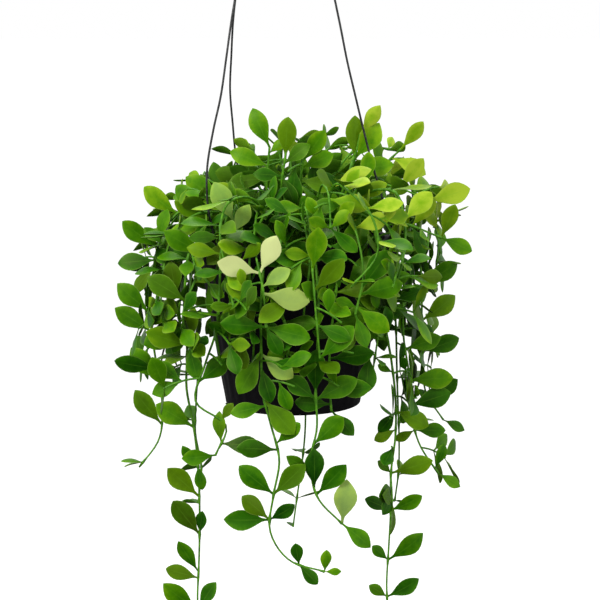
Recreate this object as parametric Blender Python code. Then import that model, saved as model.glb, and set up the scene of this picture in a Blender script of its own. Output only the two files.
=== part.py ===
"""A dischidia in a black plastic hanging pot with a three-wire hanger.

Metres, +Z up, +X to the right and +Y away from the front. The origin is the point inside the top of the hook
where the whole plant hangs. Routes and places that are chosen by hand are written in millimetres.
"""

import math
import random

import bmesh
import bpy
from mathutils import Matrix, Vector
from mathutils.bvhtree import BVHTree

MM = 0.001
UP = Vector((0.0, 0.0, 1.0))

# Pot: a 150 mm nursery pot, with its axis just right of the hook.
POT_X = 0.008
RIM_Z = -0.400
RIM_RADIUS = 0.0765
RIM_BAND = 0.013
NECK_RADIUS = 0.0735
BASE_Z = -0.532
BASE_RADIUS = 0.0535
WALL = 0.0016
FLOOR = 0.0025
FOOT_HEIGHT = 0.003
FOOT_WIDTH = 0.006
POT_SIDES = 28
RIB_DEPTH = 0.0004
RIM_ROUND = 0.0006
CENTRE_HOLE = 0.006
DRAIN_HOLES = 4
DRAIN_RADIUS = 0.004
DRAIN_CIRCLE = 0.030
CUTTER_DEPTH = 0.016
GAP = 0.0003

# Soil
SOIL_Z = -0.411
SOIL_SIDES = 20
SOIL_LUMP = 0.0012
SOIL_SHOULDER = 0.003
HOLE_RADIUS = 0.0020
HOLE_DEPTH = 0.024
HOLE_SIDES = 4
HOLE_SPACING = 0.006

# Hanger
WIRE_RADIUS = 0.00085
WIRE_HOLE_RADIUS = 0.0022
WIRE_HOLE_DROP = 0.0065
WIRE_STANDS_OFF = 0.0026
WIRE_BEND = 0.0018
WIRE_STEP = 0.028
HOOK_INSIDE = 0.009
HOOK_RADIUS = 0.0011
HOOK_SIDES = 6
HOOK_ARC = (-30, 210, 30)
HOOK_SHANK = ((0, 0, -43), (0, 0, -31), (1.5, 0, -26.5), (6, 0, -20.5))
TWIST_TOP = -0.033
TWIST_END = -0.050
TWIST_TURNS = 1.25
TWIST_REACH = 0.0014
TWIST_STEPS = 6
WIRE_SIDES = 4
# Each hanger wire: the azimuth of its hole in the rim, and the points that it passes through.
WIRES = {
    "hanger_wire_left": (
        222,
        ((-3, -3, -62), (-14, -15, -112), (-25, -28, -165), (-35, -40, -219), (-40, -46, -252),
         (-45, -50, -287), (-52, -53, -319), (-56, -55, -346), (-55, -56, -375)),
    ),
    "hanger_wire_back": (
        118,
        ((-3, 3, -62), (-14, 16, -112), (-27, 32, -165), (-38, 47, -217), (-42, 55, -267),
         (-43, 59, -295), (-41, 62, -318), (-38, 67, -350), (-32, 70, -378)),
    ),
    "hanger_wire_right": (
        350,
        ((3, 0, -62), (14, -4, -112), (27, -8, -165), (40, -12, -218), (48, -14, -257), (52, -15, -275),
         (59, -15, -303), (67, -15, -335), (76, -15, -365)),
    ),
}

# Stems and leaves
STEM_RADIUS = 0.0013
STEM_SIDES = 3
STEM_STEP = 0.029
LEAF_THICK = 0.0015
ROOT_SUNK = 0.0006
LEAF_WIDTH = 0.53
LEAF_LENGTH = (0.0245, 0.0320)
CHOSEN_LENGTH = (0.013, 0.034)
LEAF_DROOP = (0.02, 0.14)
# Along the blade from root to tip, and how much of the full width it has there.
BLADE_STATIONS = ((0.38, 0.80), (0.76, 0.91))
CLEARANCE = 0.0005
TURNS = (0, 14, -14, 28, -28, 42, -42, 56, -56)
SIZES = (1.0, 0.86, 0.72)
PAIR_GAP_CROWN = 0.0285
PAIR_GAP_TRAIL = 0.0410
FIRST_PAIR = 0.020
PAIR_TURN = (38, 62)
YOUNG_REACH = 0.045
YOUNG_SHRINK = 0.42
# How far a stem starts over the floor of its hole, and how far up it is still straight over the soil.
STEM_FOOT = 0.002
STEM_MOUTH = 0.004
# A stem in the way of another is moved aside by a little more with each try.
ROUTE_TRIES = 60
FIRST_NUDGE = 0.002
NEXT_NUDGE = 0.0002
# How the hand-placed leaves lean out and which way they face, then the same for the pairs placed by rule.
CHOSEN_LEAN = 0.24
CHOSEN_LIGHT = Vector((0.0, -0.75, 0.25))
CHOSEN_TWIST = 0.3
PAIR_LEAN = 0.25
PAIR_RISE = (0.20, 0.75)
PAIR_AHEAD = 0.3
PAIR_SWING = 14
PAIR_TWIST = 0.5
PAIR_UNEVEN = (0.85, 1.15)
# Where along a hand-placed leaf it stays in sight from the front, and places where the pot shows.
SEEN_AT = (0.35, 0.80)
POT_SHOWS = ((-53, -24, -463), (-50, -30, -478), (-45, -34, -498), (-38, -38, -514), (48, -38, -513))

# Each visible stem, in millimetres: its hole in the soil (x, y), the points that it passes through (x, y, z),
# and the leaves that show (x and z where it leaves the stem, then x and z of its tip).
CHOSEN_STEMS = {
    "trail_far_left": (
        (-44, -6),
        ((-62, -14, -386), (-84, -20, -391), (-100, -26, -430), (-102, -26, -466), (-97, -25, -507),
         (-94, -25, -540), (-100, -25, -565), (-113, -26, -580)),
        ((-101, -455, -121, -433), (-103, -474, -124, -454), (-95, -512, -117, -478), (-98, -500, -131, -497),
         (-98, -543, -113, -514)),
    ),
    "trail_left": (
        (-38, -26),
        ((-52, -38, -384), (-67, -52, -398), (-73, -58, -430), (-73, -55, -473), (-71, -55, -492),
         (-73, -55, -515), (-67, -55, -545), (-64, -55, -590), (-66, -55, -607), (-64, -55, -624),
         (-66, -55, -640), (-64, -55, -661), (-67, -55, -685), (-65, -55, -706)),
        ((-72, -543, -91, -522), (-66, -571, -74, -558), (-64, -594, -88, -563), (-65, -574, -58, -592),
         (-64, -626, -82, -592), (-63, -626, -58, -606), (-66, -660, -86, -652), (-66, -658, -76, -632),
         (-66, -684, -92, -660), (-65, -684, -46, -662), (-65, -706, -80, -716), (-65, -706, -56, -724)),
    ),
    "trail_left_inner": (
        (-26, -40),
        ((-36, -58, -386), (-44, -82, -400), (-46, -88, -436), (-50, -84, -470), (-57, -82, -486),
         (-65, -80, -506), (-62, -80, -520), (-47, -80, -528), (-37, -80, -543), (-50, -80, -556)),
        ((-63, -499, -34, -482), (-50, -530, -37, -515), (-44, -546, -41, -521), (-38, -548, -12, -545),
         (-50, -556, -72, -558)),
    ),
    "trail_centre": (
        (-8, -38),
        ((-10, -62, -384), (-12, -88, -400), (-15, -96, -440), (-15, -92, -475), (-14, -91, -510),
         (-7, -90, -534), (-2, -90, -556), (-4, -90, -577), (-10, -90, -596), (-9, -90, -612),
         (-4, -90, -628), (10, -90, -637), (32, -90, -644)),
        ((-16, -476, 10, -494), (-18, -476, -32, -510), (-13, -510, 16, -538), (-6, -514, -36, -520),
         (-15, -483, -6, -510),
         (-3, -549, -33, -547), (-1, -547, 14, -530), (-7, -582, -31, -558), (-3, -580, 19, -556),
         (-11, -600, -27, -582), (-11, -606, -43, -604), (-10, -605, 11, -594), (12, -637, 9, -619),
         (14, -638, 29, -652), (32, -644, 33, -627), (32, -644, 43, -643)),
    ),
    "trail_centre_right": (
        (16, -40),
        ((20, -62, -386), (24, -86, -402), (27, -94, -440), (26, -90, -480), (25, -88, -509),
         (26, -88, -535), (21, -88, -562), (25, -88, -582), (33, -88, -598), (45, -88, -607)),
        ((25, -510, 23, -472), (27, -512, 58, -492), (25, -511, 3, -494), (18, -547, 44, -524),
         (22, -566, 4, -556), (26, -579, 17, -550), (28, -584, 49, -556), (45, -606, 46, -571),
         (46, -607, 65, -623)),
    ),
    "trail_right": (
        (46, -22),
        ((60, -30, -385), (76, -38, -400), (82, -44, -430), (82, -41, -460), (85, -40, -490),
         (88, -40, -520), (88, -40, -550), (85, -40, -590), (86, -40, -612), (87, -40, -628),
         (83, -40, -650), (83, -40, -682), (85, -40, -704)),
        ((82, -478, 60, -466), (87, -504, 70, -496), (88, -530, 69, -546), (88, -528, 108, -540),
         (87, -548, 66, -556), (85, -583, 71, -571), (86, -583, 112, -570), (86, -612, 58, -601),
         (86, -612, 104, -600), (84, -652, 111, -627), (83, -652, 66, -640), (83, -682, 102, -668),
         (83, -682, 64, -672), (85, -704, 98, -716), (85, -704, 74, -722)),
    ),
    "trail_right_outer": (
        (48, -6),
        ((64, -12, -384), (84, -20, -391), (94, -30, -425), (92, -31, -462), (97, -30, -495),
         (100, -30, -522), (101, -30, -551), (112, -30, -566), (122, -30, -584)),
        ((93, -484, 117, -474), (98, -508, 128, -506), (99, -530, 125, -520), (101, -551, 124, -550),
         (101, -549, 83, -555), (122, -584, 136, -594), (120, -582, 124, -562)),
    ),
    "trail_far_right": (
        (50, 8),
        ((72, 10, -382), (96, 8, -386), (108, 4, -420), (110, 2, -468), (112, 0, -512), (117, 0, -538),
         (128, 0, -548)),
        ((108, -438, 132, -424), (110, -468, 130, -448), (110, -492, 134, -482), (115, -530, 134, -514),
         (128, -548, 142, -556), (117, -536, 104, -520)),
    ),
    "spray_front_pale": (
        (-14, -24),
        ((-17, -50, -374), (-19, -82, -382), (-19, -100, -412), (-10, -106, -432), (-11, -104, -454)),
        ((-19, -414, -2, -385), (-19, -414, -45, -404), (-8, -432, 32, -438), (-12, -453, -50, -449),
         (-9, -454, 24, -461), (-12, -456, 0, -474), (-12, -424, 7, -410)),
    ),
    "spray_front_middle": (
        (10, -26),
        ((15, -52, -372), (20, -82, -378), (22, -102, -412), (27, -106, -432), (25, -106, -452),
         (28, -104, -477)),
        ((22, -413, 26, -382), (27, -428, 44, -405), (25, -449, 49, -460), (28, -477, 50, -453),
         (21, -405, 2, -400)),
    ),
    "spray_front_low": (
        (26, -34),
        ((36, -58, -376), (43, -78, -394), (40, -83, -430), (36, -82, -470), (35, -80, -505), (37, -79, -522)),
        ((36, -483, 66, -478), (35, -508, 64, -503), (38, -458, 62, -446), (37, -522, 52, -540),
         (35, -515, 8, -512), (37, -470, 22, -462)),
    ),
    "spray_front_right": (
        (30, -24),
        ((40, -44, -370), (52, -74, -377), (58, -90, -408), (61, -94, -430), (54, -95, -446)),
        ((61, -428, 76, -396), (61, -434, 84, -423), (57, -440, 76, -456), (52, -446, 60, -470),
         (54, -440, 38, -432)),
    ),
    "spray_front_upper": (
        (24, -8),
        ((28, -30, -362), (34, -62, -358), (36, -86, -384)),
        ((35, -388, 47, -370), (36, -384, 54, -400), (34, -364, 62, -368), (34, -384, 18, -376)),
    ),
    "spray_right_long": (
        (38, -4),
        ((46, -12, -386), (61, -20, -359), (86, -22, -359), (100, -20, -368), (112, -20, -371)),
        ((112, -371, 144, -358), (90, -360, 104, -339), (104, -369, 112, -390), (64, -359, 60, -334)),
    ),
    "spray_right_low": (
        (40, -18),
        ((60, -28, -390), (78, -34, -382), (98, -32, -389), (122, -28, -398)),
        ((122, -398, 126, -372), (122, -398, 141, -408), (98, -389, 106, -412), (80, -382, 70, -404),
         (100, -390, 112, -368)),
    ),
    "spray_right_tall": (
        (30, 8),
        ((40, 4, -380), (52, -5, -352), (56, -9, -334), (60, -9, -320)),
        ((56, -338, 72, -303), (55, -338, 47, -301), (60, -320, 70, -298), (54, -350, 80, -344),
         (46, -366, 28, -350)),
    ),
    "spray_right_top": (
        (38, 18),
        ((54, 14, -376), (72, 6, -352), (84, 2, -340), (92, 0, -332)),
        ((92, -332, 104, -311), (74, -350, 68, -326), (84, -340, 106, -352), (68, -354, 92, -366)),
    ),
    "spray_top_right": (
        (12, 4),
        ((13, -4, -372), (14, -9, -352), (16, -11, -336)),
        ((16, -338, 29, -315), (15, -345, 36, -334), (14, -356, 36, -362), (16, -340, 2, -322)),
    ),
    "spray_top_middle": (
        (0, -12),
        ((-1, -18, -372), (0, -24, -350), (3, -26, -332)),
        ((3, -334, 6, -304), (2, -340, 22, -326), (0, -352, -20, -348), (0, -352, 12, -372)),
    ),
    "spray_top_left": (
        (-10, 2),
        ((-12, -3, -372), (-12, -6, -350), (-10, -8, -330)),
        ((-10, -330, -17, -301), (-12, -342, -34, -331), (-10, -332, 6, -322), (-12, -356, -36, -358)),
    ),
    "spray_left_front": (
        (-24, -10),
        ((-30, -28, -374), (-36, -50, -374), (-38, -68, -396)),
        ((-37, -381, -45, -354), (-37, -392, -17, -373), (-38, -396, -58, -404), (-32, -375, -54, -366)),
    ),
    "spray_left_top": (
        (-28, 4),
        ((-40, -2, -376), (-52, -14, -374), (-58, -24, -388)),
        ((-57, -386, -78, -372), (-46, -374, -68, -354), (-56, -380, -42, -360), (-58, -388, -82, -394)),
    ),
    "spray_left_far": (
        (-44, 6),
        ((-60, 0, -382), (-80, -8, -380), (-97, -14, -404), (-100, -16, -422)),
        ((-98, -406, -120, -385), (-100, -420, -123, -421), (-94, -400, -84, -376), (-82, -381, -100, -362),
         (-100, -422, -112, -442)),
    ),
    "spray_left_low": (
        (-34, -12),
        ((-46, -34, -388), (-56, -60, -402), (-66, -74, -425), (-72, -76, -444), (-68, -76, -474)),
        ((-58, -408, -90, -388), (-72, -440, -97, -419), (-68, -474, -101, -462), (-70, -462, -94, -488),
         (-66, -428, -46, -420), (-68, -474, -58, -500)),
    ),
}

# Stems placed by rule round the back and between the chosen ones. Azimuths are in degrees from +X towards +Y.
# Trails and falls hang from the last point of their route down to a height, with a point every HANG_STEP.
FRONT_FALLS = ((229, -0.455), (246, -0.520), (263, -0.515), (280, -0.528), (316, -0.505))
BACK_TRAILS = ((28, -0.66), (58, -0.56), (88, -0.68), (118, -0.57), (150, -0.64))
# Each arch or riser: its azimuth, and how many millimetres lower than its route it grows. The crown is highest
# at the back right and falls away to the left.
LOW_ARCHES = (
    (14, 0), (42, 0), (72, 0), (103, 4), (134, 12), (166, 22), (204, 22), (243, 6), (296, 0), (322, 0),
)
HIGH_ARCHES = ((28, 0), (60, 0), (92, 0), (124, 14), (158, 32), (222, 32))
RISERS = ((45, 0), (110, 4), (170, 12))
FIRST_LOWERED = 0.4
FALL_ROUTE = ((0.052, -0.374), (0.073, -0.374), (0.086, -0.394), (0.088, -0.425))
TRAIL_ROUTE = ((0.060, -0.386), (0.082, -0.387), (0.094, -0.415), (0.095, -0.455))
HANG_STEP = 0.035
HANG_SWAY = 0.005
HANG_WANDER = 5
ROUTE_WANDER = 3
ARCH_SWAY = 0.006
ARCH_REACH = (0.95, 1.05)
LOW_ROUTE = ((0.046, -0.376), (0.072, -0.358), (0.098, -0.368), (0.112, -0.396), (0.113, -0.428))
HIGH_ROUTE = ((0.030, -0.372), (0.044, -0.346), (0.066, -0.330), (0.090, -0.340))
RISER_ROUTE = ((0.022, -0.372), (0.027, -0.345), (0.034, -0.326))
# How far from the pot's axis each kind of stem stands in the soil.
ROOTED_AT = {"spray_fall": 0.044, "trail_back": 0.050, "spray_low": 0.038, "spray_high": 0.026,
             "spray_upright": 0.015}
SEED = 11


def place(x, y, z):
    """A place given in millimetres."""
    return Vector((x * MM, y * MM, z * MM))


def round_pot(azimuth, radius, z):
    """A place at an azimuth and a radius round the pot's axis."""
    angle = math.radians(azimuth)
    return Vector((POT_X + radius * math.cos(angle), radius * math.sin(angle), z))


def outward_from_pot(point):
    """The level direction away from the pot's axis."""
    away = Vector((point.x - POT_X, point.y, 0.0))
    return away.normalized() if away.length > 0.001 else Vector((0.0, -1.0, 0.0))


def new_object(name, bm, material):
    """A closed mesh object with its faces pointing out and round parts shaded smooth."""
    bmesh.ops.recalc_face_normals(bm, faces=bm.faces)
    mesh = bpy.data.meshes.new(name)
    bm.to_mesh(mesh)
    bm.free()
    mesh.shade_smooth()
    mesh.set_sharp_from_angle(angle=math.radians(40))
    mesh.materials.append(material)
    obj = bpy.data.objects.new(name, mesh)
    bpy.context.scene.collection.objects.link(obj)
    return obj


def make_material(name, colour, roughness, metallic=0.0):
    material = bpy.data.materials.new(name)
    material.use_nodes = True
    shader = material.node_tree.nodes["Principled BSDF"]
    shader.inputs["Base Color"].default_value = (*colour, 1.0)
    shader.inputs["Roughness"].default_value = roughness
    shader.inputs["Metallic"].default_value = metallic
    return material


def apply_boolean(obj, operation, collection, solver="EXACT"):
    """Joins or cuts the object with everything in the collection, and removes the collection's objects."""
    modifier = obj.modifiers.new("join", "BOOLEAN")
    modifier.operation = operation
    modifier.operand_type = "COLLECTION"
    modifier.collection = collection
    modifier.solver = solver
    graph = bpy.context.evaluated_depsgraph_get()
    joined = bpy.data.meshes.new_from_object(obj.evaluated_get(graph))
    obj.modifiers.clear()
    old = obj.data
    obj.data = joined
    bpy.data.meshes.remove(old)
    for helper in list(collection.objects):
        bpy.data.objects.remove(helper)
    bpy.data.collections.remove(collection)


def in_collection(name, objects):
    """A collection that holds these helper objects, which leave the scene's own."""
    collection = bpy.data.collections.new(name)
    bpy.context.scene.collection.children.link(collection)
    for obj in objects:
        bpy.context.scene.collection.objects.unlink(obj)
        collection.objects.link(obj)
    return collection


def resample(points, step):
    """Points about a step apart along a line of points, with its ends kept."""
    reach = [0.0]
    for a, b in zip(points, points[1:]):
        reach.append(reach[-1] + (b - a).length)
    count = max(3, round(reach[-1] / step))
    return [point_along(points, reach[-1] * k / count) for k in range(count + 1)]


def point_along(points, distance):
    """The place at a distance along a line of points."""
    for a, b in zip(points, points[1:]):
        span = (b - a).length
        if distance <= span:
            return a.lerp(b, distance / span)
        distance -= span
    return points[-1].copy()


def line_length(points):
    return sum((b - a).length for a, b in zip(points, points[1:]))


def smooth_route(points, step):
    """Points a step apart on a smooth curve through the given ones."""
    ends = [points[0] * 2 - points[1], *points, points[-1] * 2 - points[-2]]
    curve = []
    for a, b, c, d in zip(ends, ends[1:], ends[2:], ends[3:]):
        for k in range(8):
            t = k / 8
            bend = (a * 2 - b * 5 + c * 4 - d) * t * t + (b * 3 - a - c * 3 + d) * t**3
            curve.append((b * 2 + (c - a) * t + bend) * 0.5)
    curve.append(points[-1].copy())
    return resample(curve, step)


def bridge_rings(bm, rings):
    """Joins rings of vertices side by side with triangles split alike, and closes both ends."""
    for low, high in zip(rings, rings[1:]):
        count = len(low)
        for k in range(count):
            n = (k + 1) % count
            bm.faces.new((low[k], low[n], high[n]))
            bm.faces.new((low[k], high[n], high[k]))
    bm.faces.new(rings[0][::-1])
    bm.faces.new(rings[-1])


def tube(points, radius, sides, grow=0.0):
    """A closed tube along a line of points, as a bmesh."""
    bm = bmesh.new()
    rings = []
    across = None
    for k, point in enumerate(points):
        ahead = points[min(k + 1, len(points) - 1)] - points[max(k - 1, 0)]
        ahead.normalize()
        if across is None:
            across = ahead.orthogonal().normalized()
        across = (across - ahead * across.dot(ahead)).normalized()
        over = ahead.cross(across)
        ring = []
        for j in range(sides):
            angle = math.tau * j / sides
            spoke = across * math.cos(angle) + over * math.sin(angle)
            ring.append(bm.verts.new(point + spoke * (radius + grow)))
        rings.append(ring)
    bridge_rings(bm, rings)
    return bm


def blade(leaf, grow=0.0, rooted=True):
    """A fleshy leaf as a bmesh: flat on top with a ridge underneath, drawn to a point at its tip and at its
    root inside the stem. Without its root it is only the free part of the blade."""
    bm = bmesh.new()
    along = leaf["along"]
    face = leaf["face"]
    side = along.cross(face)
    length = leaf["length"]
    rings = []
    for reach, spread in BLADE_STATIONS:
        half = spread * length * LEAF_WIDTH / 2 + grow
        middle = leaf["base"] + along * (reach * length) - face * (leaf["droop"] * length * reach**2)
        top = middle + face * (LEAF_THICK / 2 + grow)
        low = middle - face * (LEAF_THICK / 2 + grow)
        rings.append([bm.verts.new(point) for point in (top - side * half, top + side * half, low)])
    low, high = rings
    for k, n in ((0, 1), (2, 0), (2, 1)):
        bm.faces.new((low[k], low[n], high[n]))
        bm.faces.new((low[k], high[n], high[k]))
    tip_reach = leaf["base"] + along * (length + grow) - face * (leaf["droop"] * length)
    tip = bm.verts.new(tip_reach + face * (LEAF_THICK / 2))
    left, right, keel = rings[-1]
    for pair in ((left, right), (right, keel), (keel, left)):
        bm.faces.new((*pair, tip))
    left, right, keel = rings[0]
    if rooted:
        root = bm.verts.new(leaf["base"] - along * (ROOT_SUNK + grow))
        for pair in ((right, left), (keel, right), (left, keel)):
            bm.faces.new((*pair, root))
    else:
        bm.faces.new((left, keel, right))
    bmesh.ops.recalc_face_normals(bm, faces=bm.faces)
    return bm


def tree_of(bm):
    """A search tree of a bmesh's faces, with the ball that holds them."""
    low = Vector(map(min, zip(*(v.co for v in bm.verts))))
    high = Vector(map(max, zip(*(v.co for v in bm.verts))))
    tree = BVHTree.FromBMesh(bm)
    bm.free()
    return {"tree": tree, "low": low, "high": high}


def touch(one, other):
    """Whether two trees' faces cross. A stem's own leaves have nothing of it to keep clear of."""
    if other is None:
        return False
    for k in range(3):
        if one["low"][k] > other["high"][k] or other["low"][k] > one["high"][k]:
            return False
    return bool(one["tree"].overlap(other["tree"]))


def turned_profile(profile, sides, ribs=0.0):
    """A closed turned body round the pot's axis, from (radius, height) points once round its wall."""
    bm = bmesh.new()
    rings = []
    for radius, z in profile:
        ring = []
        for k in range(sides):
            ripple = ribs * (1 if k % 2 else -1) if radius > BASE_RADIUS * 0.9 else 0.0
            ring.append(bm.verts.new(round_pot(360 * k / sides, radius + ripple, z)))
        rings.append(ring)
    for low, high in zip(rings, rings[1:] + rings[:1]):
        for k in range(sides):
            n = (k + 1) % sides
            bm.faces.new((low[k], low[n], high[n], high[k]))
    return bm


def wall_radius(z):
    """The pot's outer radius under the rim band."""
    share = (z - BASE_Z) / (RIM_Z - RIM_BAND - BASE_Z)
    return BASE_RADIUS + (NECK_RADIUS - BASE_RADIUS) * share


def pot_profile():
    """The pot's wall from the foot, up the outside, over the rim, down the inside and across the floor."""
    band_z = RIM_Z - RIM_BAND
    floor_z = BASE_Z + FOOT_HEIGHT
    middle_z = (band_z + BASE_Z) / 2
    inner = NECK_RADIUS - WALL
    return (
        (BASE_RADIUS - FOOT_WIDTH, BASE_Z),
        (BASE_RADIUS, BASE_Z),
        (wall_radius(middle_z), middle_z),
        (NECK_RADIUS, band_z),
        (RIM_RADIUS - RIM_ROUND, band_z + RIM_ROUND),
        (RIM_RADIUS, RIM_Z - RIM_ROUND),
        (RIM_RADIUS - RIM_ROUND, RIM_Z),
        (inner, RIM_Z - RIM_ROUND),
        (inner, band_z - WALL),
        (wall_radius(middle_z) - WALL, middle_z),
        (wall_radius(floor_z + FLOOR) - WALL, floor_z + FLOOR),
        (CENTRE_HOLE, floor_z + FLOOR),
        (CENTRE_HOLE, floor_z),
        (BASE_RADIUS - FOOT_WIDTH - RIM_ROUND, floor_z),
    )


def build_pot(material):
    """The tapered pot, with drainage holes in its floor and three wire holes in its rim band."""
    pot = new_object("pot", turned_profile(pot_profile(), POT_SIDES, RIB_DEPTH), material)
    cutters = []
    for k in range(DRAIN_HOLES):
        centre = round_pot(360 * k / DRAIN_HOLES, DRAIN_CIRCLE, BASE_Z + FOOT_HEIGHT)
        bm = bmesh.new()
        bmesh.ops.create_cone(bm, cap_ends=True, segments=8, radius1=DRAIN_RADIUS, radius2=DRAIN_RADIUS,
                              depth=CUTTER_DEPTH, matrix=Matrix.Translation(centre))
        cutters.append(new_object(f"drain_cutter_{k}", bm, material))
    for azimuth, _ in WIRES.values():
        centre = round_pot(azimuth, RIM_RADIUS, RIM_Z - WIRE_HOLE_DROP)
        turn = Matrix.Rotation(math.radians(azimuth), 4, "Z") @ Matrix.Rotation(math.radians(90), 4, "Y")
        bm = bmesh.new()
        bmesh.ops.create_cone(bm, cap_ends=True, segments=8, radius1=WIRE_HOLE_RADIUS,
                              radius2=WIRE_HOLE_RADIUS, depth=CUTTER_DEPTH,
                              matrix=Matrix.Translation(centre) @ turn)
        cutters.append(new_object(f"wire_cutter_{azimuth}", bm, material))
    apply_boolean(pot, "DIFFERENCE", in_collection("pot_cutters", cutters))
    return pot


def build_soil(material, holes):
    """The fill of coir and bark, with a rough top and a plain hole for each stem."""
    floor = BASE_Z + FOOT_HEIGHT + FLOOR + GAP
    draw = random.Random(SEED)
    middle = BASE_Z + (RIM_Z - RIM_BAND - BASE_Z) / 2
    clear = WALL + GAP + RIB_DEPTH
    top_radius = NECK_RADIUS - clear - GAP
    rings_at = (
        (wall_radius(floor) - clear, floor),
        (wall_radius(middle) - clear, middle),
        (top_radius, SOIL_Z - SOIL_SHOULDER),
        (top_radius - 3 * SOIL_SHOULDER, SOIL_Z),
        (top_radius * 0.45, SOIL_Z + SOIL_LUMP),
    )
    bm = bmesh.new()
    rings = []
    for radius, z in rings_at:
        lump = SOIL_LUMP if z >= SOIL_Z else 0.0
        rings.append([bm.verts.new(round_pot(360 * k / SOIL_SIDES, radius, z + draw.uniform(-lump, lump)))
                      for k in range(SOIL_SIDES)])
    for low, high in zip(rings, rings[1:]):
        for k in range(SOIL_SIDES):
            n = (k + 1) % SOIL_SIDES
            bm.faces.new((low[k], low[n], high[n]))
            bm.faces.new((low[k], high[n], high[k]))
    bm.faces.new(rings[0][::-1])
    top = bm.verts.new((POT_X, 0.0, SOIL_Z))
    for k in range(SOIL_SIDES):
        bm.faces.new((rings[-1][k], rings[-1][(k + 1) % SOIL_SIDES], top))
    soil = new_object("soil", bm, material)
    cutters = []
    for k, hole in enumerate(holes):
        bm = bmesh.new()
        bmesh.ops.create_cone(bm, cap_ends=True, segments=HOLE_SIDES, radius1=HOLE_RADIUS,
                              radius2=HOLE_RADIUS, depth=2 * HOLE_DEPTH,
                              matrix=Matrix.Translation((hole.x, hole.y, SOIL_Z)))
        cutters.append(new_object(f"hole_cutter_{k}", bm, material))
    apply_boolean(soil, "DIFFERENCE", in_collection("soil_cutters", cutters))
    return soil


def wire_route(name, start):
    """A hanger wire from the twist down to the rim, in through its hole and up again behind the band."""
    azimuth, passes = WIRES[name]
    hole_z = RIM_Z - WIRE_HOLE_DROP
    outside = RIM_RADIUS + WIRE_STANDS_OFF
    inside = NECK_RADIUS - WALL - 1.5 * WIRE_STANDS_OFF
    bends = [(outside, RIM_Z + 2 * WIRE_BEND), (outside, hole_z + WIRE_BEND), (outside - WIRE_BEND, hole_z),
             (inside + WIRE_BEND, hole_z), (inside, hole_z + WIRE_BEND), (inside, RIM_Z + WIRE_BEND)]
    upper = smooth_route([start, *(place(*p) for p in passes), round_pot(azimuth, *bends[0])], WIRE_STEP)
    return upper + [round_pot(azimuth, *bend) for bend in bends[1:]]


def twist_place(strand, share):
    """The middle of one of the three twisted strands, from the top of the twist (0) to its end (1)."""
    angle = math.radians(90 + 120 * strand) + math.tau * TWIST_TURNS * share
    z = TWIST_TOP + (TWIST_END - TWIST_TOP) * share
    return Vector((TWIST_REACH * math.cos(angle), TWIST_REACH * math.sin(angle), z))


def hook_route():
    """The hook's middle line: up from the twist, round the right side, over the top and down to its end."""
    radius = HOOK_INSIDE + HOOK_RADIUS
    centre_z = -HOOK_INSIDE
    first, last, step = HOOK_ARC
    points = [place(*point) for point in HOOK_SHANK]
    for degrees in range(first, last + 1, step):
        angle = math.radians(degrees)
        points.append(Vector((radius * math.cos(angle), 0, centre_z + radius * math.sin(angle))))
    return points


def build_hanger(material):
    """The hook with the twist below it, and the three wires down to the pot."""
    hook = new_object("hanger_hook", tube(hook_route(), HOOK_RADIUS, HOOK_SIDES), material)
    strands = []
    for strand in range(3):
        points = [twist_place(strand, k / TWIST_STEPS) for k in range(TWIST_STEPS + 1)]
        strands.append(new_object(f"strand_{strand}", tube(points, WIRE_RADIUS, WIRE_SIDES), material))
    apply_boolean(hook, "UNION", in_collection("strands", strands))
    for name, start in wire_starts().items():
        new_object(name, tube(wire_route(name, start), WIRE_RADIUS, WIRE_SIDES), material)


def wire_starts():
    """Each wire starts just under the strand of the twist that it continues."""
    starts = {}
    for name, (azimuth, _) in WIRES.items():
        angle = math.radians(azimuth)
        reach = 2.6 * WIRE_RADIUS
        starts[name] = Vector((reach * math.cos(angle), reach * math.sin(angle), TWIST_END - 2 * WIRE_RADIUS))
    return starts


def stem_route(hole, passes):
    """A stem from the bottom of its hole in the soil, up out of it and along its own line."""
    mouth = Vector((hole.x, hole.y, SOIL_Z + STEM_MOUTH))
    bottom = Vector((hole.x, hole.y, SOIL_Z - HOLE_DEPTH + STEM_FOOT))
    return [bottom, *smooth_route([mouth, *passes], STEM_STEP)]


def hanging(azimuth, end_z, route, draw):
    """A stem's points out over the rim along a route, then straight down with a little sway."""
    passes = [round_pot(azimuth + draw.uniform(-ROUTE_WANDER, ROUTE_WANDER), radius, z) for radius, z in route]
    radius, z = route[-1]
    while z - HANG_STEP > end_z:
        z -= HANG_STEP
        swayed = radius + draw.uniform(-HANG_SWAY, HANG_SWAY)
        passes.append(round_pot(azimuth + draw.uniform(-HANG_WANDER, HANG_WANDER), swayed, z))
    return passes


def arching(azimuth, lowered, route, draw):
    """A stem's points along an arching route, which wanders a little more with each point."""
    passes = []
    for step, (radius, z) in enumerate(route):
        turned = azimuth + draw.uniform(-ROUTE_WANDER, ROUTE_WANDER) * step
        height = z - lowered * MM * (1.0 if step else FIRST_LOWERED) + draw.uniform(-ARCH_SWAY, ARCH_SWAY)
        passes.append(round_pot(turned, radius * draw.uniform(*ARCH_REACH), height))
    return passes


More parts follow.
